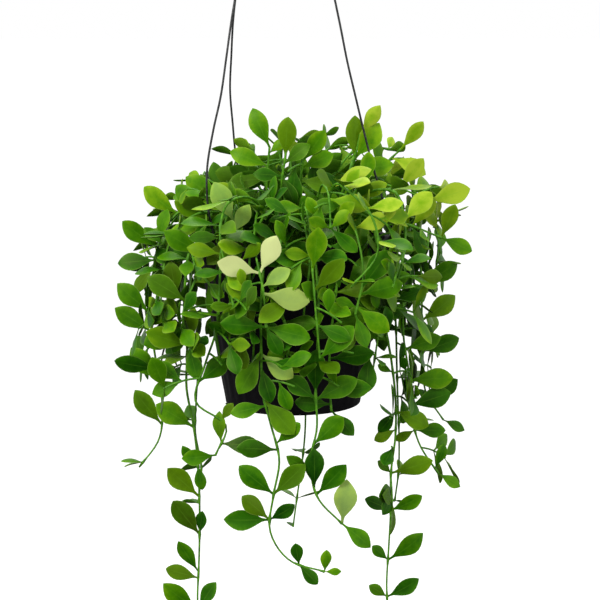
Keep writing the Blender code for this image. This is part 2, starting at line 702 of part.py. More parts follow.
def plan_stems():
    """Every stem by name: its hole, the points it passes through, its chosen leaves and whether it trails."""
    plans = {}
    for name, (hole, passes, leaves) in CHOSEN_STEMS.items():
        plans[name] = {"hole": place(*hole, 0), "passes": [place(*p) for p in passes], "chosen": leaves,
                       "trails": name.startswith("trail")}
    draw = random.Random(SEED)
    for kind, line, shape, route in (
        ("spray_fall", hanging, FRONT_FALLS, FALL_ROUTE), ("trail_back", hanging, BACK_TRAILS, TRAIL_ROUTE),
        ("spray_low", arching, LOW_ARCHES, LOW_ROUTE), ("spray_high", arching, HIGH_ARCHES, HIGH_ROUTE),
        ("spray_upright", arching, RISERS, RISER_ROUTE),
    ):
        for k, (azimuth, height) in enumerate(shape):
            plans[f"{kind}_{k + 1}"] = {"hole": round_pot(azimuth, ROOTED_AT[kind], 0), "chosen": (),
                                        "passes": line(azimuth, height, route, draw),
                                        "trails": kind.startswith("trail")}
    return plans


def clear_route(plan, placed, holes, draw):
    """Bends a stem aside until it is clear of the pot, the wires and the stems before it."""
    for tries in range(ROUTE_TRIES):
        sway = FIRST_NUDGE + NEXT_NUDGE * tries if tries else 0.0
        nudge = Vector([draw.uniform(-sway, sway) for _ in range(3)])
        hole = plan["hole"] + Vector((nudge.x, nudge.y, 0.0)) * 1.5
        if any((hole - other).to_2d().length < HOLE_SPACING for other in holes):
            continue
        passes = [p + nudge + Vector([draw.uniform(-sway, sway) / 2 for _ in range(3)])
                  for p in plan["passes"]]
        route = stem_route(hole, passes)
        tree = tree_of(tube(route[1:], STEM_RADIUS, STEM_SIDES, CLEARANCE))
        if not any(touch(tree, other["whole"]) for other in placed):
            return hole, route
    return None, None


def nearest_on(route, x, z):
    """The point of a stem's line that is nearest to a place seen from the front."""
    best = None
    for a, b in zip(route[1:], route[2:]):
        for k in range(9):
            point = a.lerp(b, k / 8)
            distance = math.hypot(point.x - x, point.z - z)
            if best is None or distance < best[0]:
                best = (distance, point)
    return best[1]


def make_leaf(base, along, light, length, twist, draw):
    """A leaf's numbers, with its face turned to the light and then a little about its own length."""
    along = along.normalized()
    face = light - along * light.dot(along)
    face = Matrix.Rotation(twist, 3, along) @ face.normalized()
    return {"base": base, "along": along, "face": face, "length": length, "droop": draw.uniform(*LEAF_DROOP)}


def chosen_leaves(route, chosen, draw):
    """The leaves whose places are chosen by hand, as (leaf, axis to turn it about)."""
    leaves = []
    for base_x, base_z, tip_x, tip_z in chosen:
        base = nearest_on(route, base_x * MM, base_z * MM)
        outward = outward_from_pot(base)
        flat = Vector((tip_x * MM - base.x, 0.0, tip_z * MM - base.z))
        along = flat + outward * (CHOSEN_LEAN * flat.length)
        shortest, longest = CHOSEN_LENGTH
        length = min(longest, max(shortest, along.length))
        light = CHOSEN_LIGHT + outward * 0.5
        twist = draw.uniform(-CHOSEN_TWIST, CHOSEN_TWIST)
        leaves.append((make_leaf(base, along, light, length, twist, draw), outward))
    return leaves


def ruled_leaves(route, chosen, trails, draw):
    """Opposite pairs along the rest of a stem, turned out and up to the light, smaller towards its tip."""
    leaves = []
    total = line_length(route)
    gap = PAIR_GAP_TRAIL if trails else PAIR_GAP_CROWN
    reach = (route[1] - route[0]).length + FIRST_PAIR
    turn = draw.uniform(0, 90)
    while reach < total + gap / 2:
        base = point_along(route, min(reach, total - 0.0006))
        ahead = point_along(route, min(reach, total) + 0.001) - point_along(route, min(reach, total) - 0.003)
        ahead.normalize()
        outward = outward_from_pot(base)
        sideways = UP.cross(outward)
        taken = any((leaf["base"] - base).length < gap * 0.55 for leaf, _ in chosen)
        young = 1.0 - YOUNG_SHRINK * max(0.0, 1.0 - (total - reach) / YOUNG_REACH)
        for sign in (1, -1):
            angle = math.radians(turn + draw.uniform(-PAIR_SWING, PAIR_SWING))
            across = sideways * (sign * math.cos(angle)) + outward * (PAIR_LEAN + abs(math.sin(angle)))
            along = across + UP * draw.uniform(*PAIR_RISE) + ahead * PAIR_AHEAD
            length = draw.uniform(*LEAF_LENGTH) * young
            leaf = make_leaf(base, along, outward + UP, length, draw.uniform(-PAIR_TWIST, PAIR_TWIST), draw)
            if not taken:
                leaves.append((leaf, outward))
        turn = (turn + draw.uniform(*PAIR_TURN)) % 75
        reach += gap * draw.uniform(*PAIR_UNEVEN)
    return leaves


def covers(one, in_sight):
    """Whether a leaf's tree lies in front of one of the places that show from the front."""
    for spot in in_sight:
        if (one["low"].x <= spot.x <= one["high"].x and one["low"].z <= spot.z <= one["high"].z
                and one["tree"].ray_cast(spot, Vector((0.0, -1.0, 0.0)))[0]):
            return True
    return False


def fitted(leaf, outward, node, placed, in_sight=()):
    """The leaf, turned or made smaller until it is clear of what is there and hides nothing that shows, or
    None."""
    for size in SIZES:
        for degrees in TURNS:
            turn = Matrix.Rotation(math.radians(degrees), 3, outward)
            tried = dict(leaf, along=turn @ leaf["along"], face=turn @ leaf["face"],
                         length=leaf["length"] * size)
            loose = tree_of(blade(tried, CLEARANCE))
            free = tree_of(blade(tried, rooted=False))
            if covers(loose, in_sight) or any(
                    touch(free, other["free"]) if other["node"] == node else touch(loose, other["whole"])
                    for other in placed):
                continue
            placed.append({"node": node, "whole": tree_of(blade(tried)), "free": free})
            return tried
    return None


def grow_plant(placed):
    """Each stem's line and leaves by name, the holes that the stems stand in, and what stays in sight."""
    draw = random.Random(SEED)
    holes = []
    grown = {}
    for name, plan in plan_stems().items():
        hole, route = clear_route(plan, placed, holes, draw)
        if route is None:
            continue
        holes.append(hole)
        bare = tree_of(tube(route[1:], STEM_RADIUS, STEM_SIDES))
        placed.append({"node": name, "whole": bare, "free": None})
        grown[name] = {"route": route, "plan": plan, "leaves": []}
    soil_top = bmesh.new()
    bmesh.ops.create_circle(soil_top, cap_ends=True, segments=24, radius=NECK_RADIUS,
                            matrix=Matrix.Translation((POT_X, 0, SOIL_Z + SOIL_SHOULDER)))
    placed.append({"node": "soil", "whole": tree_of(soil_top), "free": None})
    in_sight = [place(*spot) for spot in POT_SHOWS]
    for name, stem in grown.items():
        stem["wanted"] = chosen_leaves(stem["route"], stem["plan"]["chosen"], draw)
        for leaf, outward in stem["wanted"]:
            made = fitted(leaf, outward, name, placed)
            stem["leaves"].append(made)
            if made:
                in_sight.extend(made["base"] + made["along"] * (made["length"] * share) for share in SEEN_AT)
    for name, stem in grown.items():
        for leaf, outward in ruled_leaves(stem["route"], stem["wanted"], stem["plan"]["trails"], draw):
            stem["leaves"].append(fitted(leaf, outward, name, placed, in_sight))
    for stem in grown.values():
        stem["leaves"] = [leaf for leaf in stem["leaves"] if leaf]
    return grown, holes, in_sight


def hanger_and_pot_trees():
    """Search trees of the pot's wall and of each hanger wire."""
    pot = tree_of(turned_profile(pot_profile(), POT_SIDES, RIB_DEPTH))
    placed = [{"node": "pot", "whole": pot, "free": None}]
    for name, start in wire_starts().items():
        wire = tube(wire_route(name, start), WIRE_RADIUS, WIRE_SIDES)
        placed.append({"node": name, "whole": tree_of(wire), "free": None})
    return placed


def build_stem(name, stem, material):
    """One leafy stem as a single body, with every leaf's root sunk in it."""
    obj = new_object(name, tube(stem["route"], STEM_RADIUS, STEM_SIDES), material)
    leaves = [new_object(f"leaf_{k}", blade(leaf), material) for k, leaf in enumerate(stem["leaves"])]
    if leaves:
        apply_boolean(obj, "UNION", in_collection("leaves", leaves), "MANIFOLD")
    return obj


def build():
    for obj in list(bpy.data.objects):
        bpy.data.objects.remove(obj)
    pot_plastic = make_material("pot_plastic", (0.010, 0.008, 0.013), 0.55)
    coir = make_material("coir_and_bark", (0.055, 0.030, 0.016), 0.95)
    wire = make_material("hanger_wire", (0.035, 0.035, 0.040), 0.45, 0.8)
    green = make_material("dischidia_green", (0.045, 0.220, 0.010), 0.45)
    grown, holes, _ = grow_plant(hanger_and_pot_trees())
    build_pot(pot_plastic)
    build_soil(coir, holes)
    build_hanger(wire)
    for name, stem in grown.items():
        build_stem(name, stem, green)


build()
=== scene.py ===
import math
import random

import bmesh
import bpy
from mathutils import Matrix, Vector, noise
from mathutils.bvhtree import BVHTree


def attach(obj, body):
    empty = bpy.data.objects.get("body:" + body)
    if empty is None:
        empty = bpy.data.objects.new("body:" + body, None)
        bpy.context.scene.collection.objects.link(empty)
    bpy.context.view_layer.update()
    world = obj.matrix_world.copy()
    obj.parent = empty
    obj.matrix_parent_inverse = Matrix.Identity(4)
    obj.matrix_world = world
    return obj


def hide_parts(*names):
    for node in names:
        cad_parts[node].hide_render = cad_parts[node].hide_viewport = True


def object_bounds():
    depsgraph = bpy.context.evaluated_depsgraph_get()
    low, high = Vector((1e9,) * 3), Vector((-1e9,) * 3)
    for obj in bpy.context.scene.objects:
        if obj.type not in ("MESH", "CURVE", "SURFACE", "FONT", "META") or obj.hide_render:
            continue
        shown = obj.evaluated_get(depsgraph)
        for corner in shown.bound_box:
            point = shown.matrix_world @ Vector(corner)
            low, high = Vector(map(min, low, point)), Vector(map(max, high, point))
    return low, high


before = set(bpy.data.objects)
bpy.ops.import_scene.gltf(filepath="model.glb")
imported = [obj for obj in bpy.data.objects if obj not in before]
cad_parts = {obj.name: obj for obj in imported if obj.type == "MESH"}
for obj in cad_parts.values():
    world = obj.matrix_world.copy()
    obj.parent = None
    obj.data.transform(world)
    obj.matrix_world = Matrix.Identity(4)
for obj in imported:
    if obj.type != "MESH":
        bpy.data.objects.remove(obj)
cad_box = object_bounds()

# The camera stands 1.3 m in front of the plant and a little above it, and looks slightly down at the pot.
# Large soft lamps light it from the front left, the right and behind, in a white room that is dark below. The
# floor is plain white with a faint glow of its own, and sends no light up to the plant.
VIEW_TARGET = Vector((0.0135, 0.0, -0.451))
VIEW_DISTANCE = 1.30
VIEW_PITCH = 9.3
VIEW_LENS = 98.8
FLOOR_Z = -1.30
FLOOR_REACH = 200.0
FLOOR_GLOW = 0.20
LAMPS = (
    ("key", (-1.0, -1.5, 0.85), 0.8, 38.0),
    ("fill", (1.4, -1.1, 0.10), 1.2, 7.0),
    ("top", (0.2, 0.9, 1.20), 1.0, 18.0),
)
LAMP_COLOUR = (1.0, 0.97, 0.90)
# How bright the room is overhead, all round and underfoot, and at which heights of a unit ball the first and
# the last fade into the middle one.
LIGHT_FROM_ABOVE = 0.84
LIGHT_FROM_SIDES = 1.0
LIGHT_FROM_BELOW = 0.05
ABOVE_FADES = (0.12, 0.35)
BELOW_FADES = (-0.30, -0.01)

pitch = math.radians(VIEW_PITCH)
camera = bpy.data.objects.new("camera", bpy.data.cameras.new("camera"))
camera.data.lens = VIEW_LENS
camera.data.sensor_width = 36.0
camera.location = VIEW_TARGET + Vector((0.0, -math.cos(pitch), math.sin(pitch))) * VIEW_DISTANCE
camera.rotation_euler = (math.radians(90) - pitch, 0.0, 0.0)
camera.data.clip_start = 0.05
camera.data.clip_end = 3 * FLOOR_REACH
bpy.context.scene.collection.objects.link(camera)
bpy.context.scene.camera = camera
for name, spot, size, power in LAMPS:
    lamp = bpy.data.lights.new(name, "AREA")
    lamp.size = size
    lamp.energy = power
    lamp.color = LAMP_COLOUR
    lamp_object = bpy.data.objects.new(name, lamp)
    lamp_object.location = spot
    lamp_object.rotation_euler = (VIEW_TARGET - Vector(spot)).to_track_quat("-Z", "Y").to_euler()
    bpy.context.scene.collection.objects.link(lamp_object)
bpy.context.scene.view_settings.view_transform = "Standard"
room = bpy.data.worlds.new("room")
room.use_nodes = True


def new_material(name, roughness, metallic=0.0):
    """A material, its node tree and its Principled shader."""
    material = bpy.data.materials.new(name)
    material.use_nodes = True
    shader = material.node_tree.nodes["Principled BSDF"]
    shader.inputs["Roughness"].default_value = roughness
    shader.inputs["Metallic"].default_value = metallic
    return material, material.node_tree, shader


def add_node(tree, kind, settings=None, **inputs):
    """A node with its settings and its unlinked inputs set, or linked where a socket is given."""
    made = tree.nodes.new(kind)
    for key, value in (settings or {}).items():
        setattr(made, key, value)
    for key, value in inputs.items():
        socket = made.inputs[int(key[1:]) if key[0] == "n" and key[1:].isdigit() else key.replace("_", " ")]
        if isinstance(value, bpy.types.NodeSocket):
            tree.links.new(value, socket)
        else:
            socket.default_value = value
    return made


def maths(tree, operation, first, second=0.0):
    return add_node(tree, "ShaderNodeMath", {"operation": operation}, n0=first, n1=second).outputs[0]


def span(tree, value, low, high, start=0.0, end=1.0):
    """A value between two limits, spread over a new range and kept inside it."""
    spread = add_node(tree, "ShaderNodeMapRange", Value=value, n1=low, n2=high, n3=start, n4=end)
    return spread.outputs["Result"]


heading = add_node(room.node_tree, "ShaderNodeTexCoord").outputs["Generated"]
height = add_node(room.node_tree, "ShaderNodeSeparateXYZ", Vector=heading).outputs["Z"]
brightness = maths(room.node_tree, "MULTIPLY",
                   span(room.node_tree, height, *BELOW_FADES, LIGHT_FROM_BELOW, LIGHT_FROM_SIDES),
                   span(room.node_tree, height, *ABOVE_FADES, 1.0, LIGHT_FROM_ABOVE))
sky = room.node_tree.nodes["Background"]
sky.inputs["Color"].default_value = (1.0, 1.0, 1.0, 1.0)
room.node_tree.links.new(brightness, sky.inputs["Strength"])
bpy.context.scene.world = room

floor_bm = bmesh.new()
bmesh.ops.create_grid(floor_bm, x_segments=1, y_segments=1, size=FLOOR_REACH,
                      matrix=Matrix.Translation((0, 0, FLOOR_Z)))
floor_mesh = bpy.data.meshes.new("floor")
floor_bm.to_mesh(floor_mesh)
floor_bm.free()
floor_material, floor_tree, floor_shader = new_material("floor", 0.9)
floor_shader.inputs["Base Color"].default_value = (1.0, 1.0, 1.0, 1.0)
floor_shader.inputs["Specular IOR Level"].default_value = 0.0
floor_shader.inputs["Emission Color"].default_value = (1.0, 1.0, 1.0, 1.0)
floor_shader.inputs["Emission Strength"].default_value = FLOOR_GLOW
floor_mesh.materials.append(floor_material)
floor = bpy.data.objects.new("floor", floor_mesh)
floor.visible_diffuse = False
floor.visible_glossy = False
bpy.context.scene.collection.objects.link(floor)

# Pot: one injection-moulded shell of matt black plastic, a 150 mm nursery pot, with low upright ribs on its
# tapered wall, a rim band with three holes for the hanger, a foot ring and drainage holes in the floor.
MM = 0.001
POT_X = 0.008
RIM_Z = -0.400
RIM_RADIUS = 0.0765
RIM_BAND = 0.013
NECK_RADIUS = 0.0735
BASE_Z = -0.532
BASE_RADIUS = 0.0535
WALL = 0.0016
FLOOR = 0.0025
FOOT_HEIGHT = 0.003
FOOT_WIDTH = 0.006
POT_SIDES = 28
RIB_DEPTH = 0.0004
RIM_ROUND = 0.0006
CENTRE_HOLE = 0.006
DRAIN_HOLES = 4
DRAIN_RADIUS = 0.004
DRAIN_CIRCLE = 0.030
GAP = 0.0003
CUTTER_DEPTH = 0.016
WIRE_HOLE_RADIUS = 0.0022
WIRE_HOLE_DROP = 0.0065
WIRES = {
    "hanger_wire_left": (
        222,
        ((-3, -3, -62), (-14, -15, -112), (-25, -28, -165), (-35, -40, -219), (-40, -46, -252),
         (-45, -50, -287), (-52, -53, -319), (-56, -55, -346), (-55, -56, -375)),
    ),
    "hanger_wire_back": (
        118,
        ((-3, 3, -62), (-14, 16, -112), (-27, 32, -165), (-38, 47, -217), (-42, 55, -267),
         (-43, 59, -295), (-41, 62, -318), (-38, 67, -350), (-32, 70, -378)),
    ),
    "hanger_wire_right": (
        350,
        ((3, 0, -62), (14, -4, -112), (27, -8, -165), (40, -12, -218), (48, -14, -257), (52, -15, -275),
         (59, -15, -303), (67, -15, -335), (76, -15, -365)),
    ),
}


def place(x, y, z):
    """A place given in millimetres."""
    return Vector((x * MM, y * MM, z * MM))


def round_pot(azimuth, radius, z):
    """A place at an azimuth and a radius round the pot's axis."""
    angle = math.radians(azimuth)
    return Vector((POT_X + radius * math.cos(angle), radius * math.sin(angle), z))


def wall_radius(z):
    """The pot's outer radius under the rim band."""
    share = (z - BASE_Z) / (RIM_Z - RIM_BAND - BASE_Z)
    return BASE_RADIUS + (NECK_RADIUS - BASE_RADIUS) * share


def pot_profile():
    """The pot's wall from the foot, up the outside, over the rim, down the inside and across the floor."""
    band_z = RIM_Z - RIM_BAND
    floor_z = BASE_Z + FOOT_HEIGHT
    middle_z = (band_z + BASE_Z) / 2
    inner = NECK_RADIUS - WALL
    return (
        (BASE_RADIUS - FOOT_WIDTH, BASE_Z),
        (BASE_RADIUS, BASE_Z),
        (wall_radius(middle_z), middle_z),
        (NECK_RADIUS, band_z),
        (RIM_RADIUS - RIM_ROUND, band_z + RIM_ROUND),
        (RIM_RADIUS, RIM_Z - RIM_ROUND),
        (RIM_RADIUS - RIM_ROUND, RIM_Z),
        (inner, RIM_Z - RIM_ROUND),
        (inner, band_z - WALL),
        (wall_radius(middle_z) - WALL, middle_z),
        (wall_radius(floor_z + FLOOR) - WALL, floor_z + FLOOR),
        (CENTRE_HOLE, floor_z + FLOOR),
        (CENTRE_HOLE, floor_z),
        (BASE_RADIUS - FOOT_WIDTH - RIM_ROUND, floor_z),
    )


def turned_profile(profile, sides, ribs=0.0):
    """A closed turned body round the pot's axis, from (radius, height) points once round its wall."""
    bm = bmesh.new()
    rings = []
    for radius, z in profile:
        ring = []
        for k in range(sides):
            ripple = ribs * (1 if k % 2 else -1) if radius > BASE_RADIUS * 0.9 else 0.0
            ring.append(bm.verts.new(round_pot(360 * k / sides, radius + ripple, z)))
        rings.append(ring)
    for low, high in zip(rings, rings[1:] + rings[:1]):
        for k in range(sides):
            n = (k + 1) % sides
            bm.faces.new((low[k], low[n], high[n], high[k]))
    return bm


FINE_STEPS = 144
# Parts of the outline taller than this are cut up, so that the wall can carry its ribs.
TALL_PART = 0.02
TALL_PART_CUTS = 6
FINE_RIBS = 36
# The ribs run between these shares of the wall's height, and fade out quickly towards both.
RIBS_FROM = 0.02
RIBS_TO = 0.97
RIBS_FADE = 12


def fine_pot():
    """The pot's wall spun round its axis, with the band's corners rounded and ribs pressed into the wall."""
    bm = bmesh.new()
    outline = [bm.verts.new((POT_X + radius, 0.0, z)) for radius, z in pot_profile()]
    edges = [bm.edges.new(pair) for pair in zip(outline, outline[1:] + outline[:1])]
    tall = [edge for edge in edges if abs(edge.verts[0].co.z - edge.verts[1].co.z) > TALL_PART]
    bmesh.ops.subdivide_edges(bm, edges=tall, cuts=TALL_PART_CUTS)
    bmesh.ops.bevel(bm, geom=bm.verts[:], offset=RIM_ROUND / 2, segments=2, profile=0.5, affect="VERTICES",
                    material=-1)
    bmesh.ops.spin(bm, geom=bm.verts[:] + bm.edges[:], cent=(POT_X, 0, 0), axis=(0, 0, 1),
                   angle=math.tau, steps=FINE_STEPS, use_merge=True)
    bmesh.ops.remove_doubles(bm, verts=bm.verts, dist=0.00002)
    band_z = RIM_Z - RIM_BAND
    for vert in bm.verts:
        level = Vector((vert.co.x - POT_X, vert.co.y, 0.0))
        height = (vert.co.z - BASE_Z) / (band_z - BASE_Z)
        if not RIBS_FROM < height < RIBS_TO or level.length < BASE_RADIUS * 0.9:
            continue
        wave = math.cos(FINE_RIBS * math.atan2(level.y, level.x))
        fade = min(1.0, RIBS_FADE * min(height - RIBS_FROM, RIBS_TO - height))
        vert.co += level.normalized() * (RIB_DEPTH * wave * fade)
    bmesh.ops.recalc_face_normals(bm, faces=bm.faces)
    return bm


def cut_with(piece, cutters):
    """Cuts the piece with every cutter, given as bmeshes, and leaves only the cut mesh."""
    for bm in cutters:
        mesh = bpy.data.meshes.new("cutter")
        bm.to_mesh(mesh)
        bm.free()
        cutter = bpy.data.objects.new("cutter", mesh)
        bpy.context.scene.collection.objects.link(cutter)
        modifier = piece.modifiers.new("cut", "BOOLEAN")
        modifier.operation = "DIFFERENCE"
        modifier.object = cutter
        modifier.solver = "EXACT"
        graph = bpy.context.evaluated_depsgraph_get()
        cut = bpy.data.meshes.new_from_object(piece.evaluated_get(graph))
        piece.modifiers.clear()
        old = piece.data
        piece.data = cut
        bpy.data.meshes.remove(old)
        bpy.data.objects.remove(cutter)
        bpy.data.meshes.remove(mesh)
    piece.data.shade_smooth()
    piece.data.set_sharp_from_angle(angle=math.radians(38))


def round_cutter(centre, radius, depth, turn):
    bm = bmesh.new()
    bmesh.ops.create_cone(bm, cap_ends=True, segments=24, radius1=radius, radius2=radius, depth=depth,
                          matrix=Matrix.Translation(centre) @ turn)
    return bm


def specks(tree, scale, detail=2.0, roughness=0.5):
    """Noise on a piece's own coordinates, with so many specks a metre."""
    spots = add_node(tree, "ShaderNodeTexCoord").outputs["Object"]
    return add_node(tree, "ShaderNodeTexNoise", Vector=spots, Scale=scale, Detail=detail,
                    Roughness=roughness).outputs["Fac"]


def blend_colours(tree, share, first, second):
    """The first colour where the share is 0, and the second where it is 1."""
    colours = []
    for colour in (first, second):
        colours.append(colour if isinstance(colour, bpy.types.NodeSocket) else (*colour, 1.0))
    mix = add_node(tree, "ShaderNodeMix", {"data_type": "RGBA"}, Factor=share, n6=colours[0], n7=colours[1])
    return mix.outputs[2]


def roughen(tree, shader, strength, distance, height):
    """Fine relief on a finish."""
    bump = add_node(tree, "ShaderNodeBump", Strength=strength, Distance=distance, Height=height)
    tree.links.new(bump.outputs["Normal"], shader.inputs["Normal"])


def finish_piece(name, bm, materials, node=None):
    """A smooth-shaded piece from a bmesh, on the root body, which stands for a CAD node if one is named."""
    mesh = bpy.data.meshes.new(name)
    bm.to_mesh(mesh)
    bm.free()
    mesh.shade_smooth()
    mesh.set_sharp_from_angle(angle=math.radians(50))
    for material in materials:
        mesh.materials.append(material)
    piece = bpy.data.objects.new(name, mesh)
    bpy.context.scene.collection.objects.link(piece)
    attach(piece, "root")
    if node:
        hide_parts(node)
    return piece


# Matt black with a purple cast, and the dust that greys it in patches.
CLEAN_PLASTIC = (0.0045, 0.0030, 0.0060)
DUSTY_PLASTIC = (0.018, 0.015, 0.016)

plastic, plastic_tree, plastic_shader = new_material("black_plastic", 0.5)
plastic_shader.inputs["Specular IOR Level"].default_value = 0.22
dust = specks(plastic_tree, 38.0, 6.0, 0.65)
plastic_colour = blend_colours(plastic_tree, span(plastic_tree, dust, 0.52, 0.80, 0.0, 0.55), CLEAN_PLASTIC,
                               DUSTY_PLASTIC)
plastic_tree.links.new(plastic_colour, plastic_shader.inputs["Base Color"])
plastic_tree.links.new(span(plastic_tree, dust, 0.3, 0.8, 0.42, 0.68), plastic_shader.inputs["Roughness"])
roughen(plastic_tree, plastic_shader, 0.12, 0.0002, specks(plastic_tree, 900.0, 3.0))

pot_piece = finish_piece("moulded_pot", fine_pot(), [plastic], "pot")
holes_to_cut = []
for k in range(DRAIN_HOLES):
    spot = round_pot(360 * k / DRAIN_HOLES, DRAIN_CIRCLE, BASE_Z + FOOT_HEIGHT)
    holes_to_cut.append(round_cutter(spot, DRAIN_RADIUS, CUTTER_DEPTH, Matrix.Identity(4)))
for azimuth, _ in WIRES.values():
    aim = Matrix.Rotation(math.radians(azimuth), 4, "Z") @ Matrix.Rotation(math.radians(90), 4, "Y")
    spot = round_pot(azimuth, RIM_RADIUS, RIM_Z - WIRE_HOLE_DROP)
    holes_to_cut.append(round_cutter(spot, WIRE_HOLE_RADIUS, CUTTER_DEPTH, aim))
cut_with(pot_piece, holes_to_cut)

# Hanger: dark coated steel wire. Three stiff wires hook through the rim's holes, bow inwards on their way up
# and are twisted together under the hook, which is the same wire bent round.
WIRE_RADIUS = 0.00085
WIRE_STANDS_OFF = 0.0026
WIRE_BEND = 0.0018
WIRE_STEP = 0.028
HOOK_INSIDE = 0.009
HOOK_RADIUS = 0.0011
HOOK_ARC = (-30, 210, 30)
HOOK_SHANK = ((0, 0, -43), (0, 0, -31), (1.5, 0, -26.5), (6, 0, -20.5))
TWIST_TOP = -0.033
TWIST_END = -0.050
TWIST_TURNS = 1.25
TWIST_REACH = 0.0014
WIRE_SIDES = 4


def point_along(points, distance):
    """The place at a distance along a line of points."""
    for a, b in zip(points, points[1:]):
        span = (b - a).length
        if distance <= span:
            return a.lerp(b, distance / span)
        distance -= span
    return points[-1].copy()


def resample(points, step):
    """Points about a step apart along a line of points, with its ends kept."""
    reach = [0.0]
    for a, b in zip(points, points[1:]):
        reach.append(reach[-1] + (b - a).length)
    count = max(3, round(reach[-1] / step))
    return [point_along(points, reach[-1] * k / count) for k in range(count + 1)]


def line_length(points):
    return sum((b - a).length for a, b in zip(points, points[1:]))


def smooth_route(points, step):
    """Points a step apart on a smooth curve through the given ones."""
    ends = [points[0] * 2 - points[1], *points, points[-1] * 2 - points[-2]]
    curve = []
    for a, b, c, d in zip(ends, ends[1:], ends[2:], ends[3:]):
        for k in range(8):
            t = k / 8
            bend = (a * 2 - b * 5 + c * 4 - d) * t * t + (b * 3 - a - c * 3 + d) * t**3
            curve.append((b * 2 + (c - a) * t + bend) * 0.5)
    curve.append(points[-1].copy())
    return resample(curve, step)


def wire_route(name, start):
    """A hanger wire from the twist down to the rim, in through its hole and up again behind the band."""
    azimuth, passes = WIRES[name]
    hole_z = RIM_Z - WIRE_HOLE_DROP
    outside = RIM_RADIUS + WIRE_STANDS_OFF
    inside = NECK_RADIUS - WALL - 1.5 * WIRE_STANDS_OFF
    bends = [(outside, RIM_Z + 2 * WIRE_BEND), (outside, hole_z + WIRE_BEND), (outside - WIRE_BEND, hole_z),
             (inside + WIRE_BEND, hole_z), (inside, hole_z + WIRE_BEND), (inside, RIM_Z + WIRE_BEND)]
    upper = smooth_route([start, *(place(*p) for p in passes), round_pot(azimuth, *bends[0])], WIRE_STEP)
    return upper + [round_pot(azimuth, *bend) for bend in bends[1:]]


def wire_starts():
    """Each wire starts just under the strand of the twist that it continues."""
    starts = {}
    for name, (azimuth, _) in WIRES.items():
        angle = math.radians(azimuth)
        reach = 2.6 * WIRE_RADIUS
        starts[name] = Vector((reach * math.cos(angle), reach * math.sin(angle), TWIST_END - 2 * WIRE_RADIUS))
    return starts


def twist_place(strand, share):
    """The middle of one of the three twisted strands, from the top of the twist (0) to its end (1)."""
    angle = math.radians(90 + 120 * strand) + math.tau * TWIST_TURNS * share
    z = TWIST_TOP + (TWIST_END - TWIST_TOP) * share
    return Vector((TWIST_REACH * math.cos(angle), TWIST_REACH * math.sin(angle), z))


def hook_route():
    """The hook's middle line: up from the twist, round the right side, over the top and down to its end."""
    radius = HOOK_INSIDE + HOOK_RADIUS
    centre_z = -HOOK_INSIDE
    first, last, step = HOOK_ARC
    points = [place(*point) for point in HOOK_SHANK]
    for degrees in range(first, last + 1, step):
        angle = math.radians(degrees)
        points.append(Vector((radius * math.cos(angle), 0, centre_z + radius * math.sin(angle))))
    return points


ROUND_WIRE = 4
FINE_HOOK_STEP = 0.0012
FINE_TWIST_STEPS = 48
FINE_WIRE_STEP = 0.0016
# The coating's colours, each at its share of the noise.
WORN_WIRE = ((0.35, (0.012, 0.013, 0.014)), (0.75, (0.055, 0.058, 0.060)))


def colour_run(tree, value, stops):
    """A colour that runs through the stops, each a position and its red, green and blue."""
    ramp = add_node(tree, "ShaderNodeValToRGB", Fac=value)
    for element, (position, colour) in zip(ramp.color_ramp.elements, (stops[0], stops[-1])):
        element.position = position
        element.color = (*colour, 1.0)
    for position, colour in stops[1:-1]:
        ramp.color_ramp.elements.new(position).color = (*colour, 1.0)
    return ramp.outputs["Color"]


wire_finish, wire_tree, wire_shader = new_material("coated_wire", 0.42, 0.6)
rubbed = specks(wire_tree, 420.0, 4.0)
wire_tree.links.new(colour_run(wire_tree, rubbed, WORN_WIRE), wire_shader.inputs["Base Color"])
roughen(wire_tree, wire_shader, 0.2, 0.0001, rubbed)


def round_tube(points, radii, roundness):
    """A round tube along a smooth line, as a bmesh, from a curve with a bevel and filled caps."""
    curve = bpy.data.curves.new("line", "CURVE")
    curve.dimensions = "3D"
    curve.bevel_depth = 1.0
    curve.bevel_resolution = roundness
    curve.use_fill_caps = True
    line = curve.splines.new("POLY")
    line.points.add(len(points) - 1)
    for spline_point, point, radius in zip(line.points, points, radii):
        spline_point.co = (*point, 1.0)
        spline_point.radius = radius
    holder = bpy.data.objects.new("line", curve)
    bpy.context.scene.collection.objects.link(holder)
    graph = bpy.context.evaluated_depsgraph_get()
    mesh = bpy.data.meshes.new_from_object(holder.evaluated_get(graph))
    bm = bmesh.new()
    bm.from_mesh(mesh)
    bmesh.ops.remove_doubles(bm, verts=bm.verts, dist=0.00001)
    bpy.data.objects.remove(holder)
    bpy.data.curves.remove(curve)
    bpy.data.meshes.remove(mesh)
    return bm


def add_bmesh(target, source):
    """Adds one bmesh's faces to another."""
    mesh = bpy.data.meshes.new("add")
    source.to_mesh(mesh)
    source.free()
    target.from_mesh(mesh)
    bpy.data.meshes.remove(mesh)


hook_line = smooth_route(hook_route(), FINE_HOOK_STEP)
hook_bm = round_tube(hook_line, [HOOK_RADIUS] * len(hook_line), ROUND_WIRE)
for strand in range(3):
    strand_line = [twist_place(strand, k / FINE_TWIST_STEPS) for k in range(FINE_TWIST_STEPS + 1)]
    add_bmesh(hook_bm, round_tube(strand_line, [WIRE_RADIUS] * len(strand_line), ROUND_WIRE))
finish_piece("hook_and_twist", hook_bm, [wire_finish], "hanger_hook")
for name, start in wire_starts().items():
    wire_line = smooth_route(wire_route(name, start), FINE_WIRE_STEP)
    wire_bm = round_tube(wire_line, [WIRE_RADIUS] * len(wire_line), ROUND_WIRE)
    finish_piece(name.replace("hanger_wire", "bent_wire"), wire_bm, [wire_finish], name)

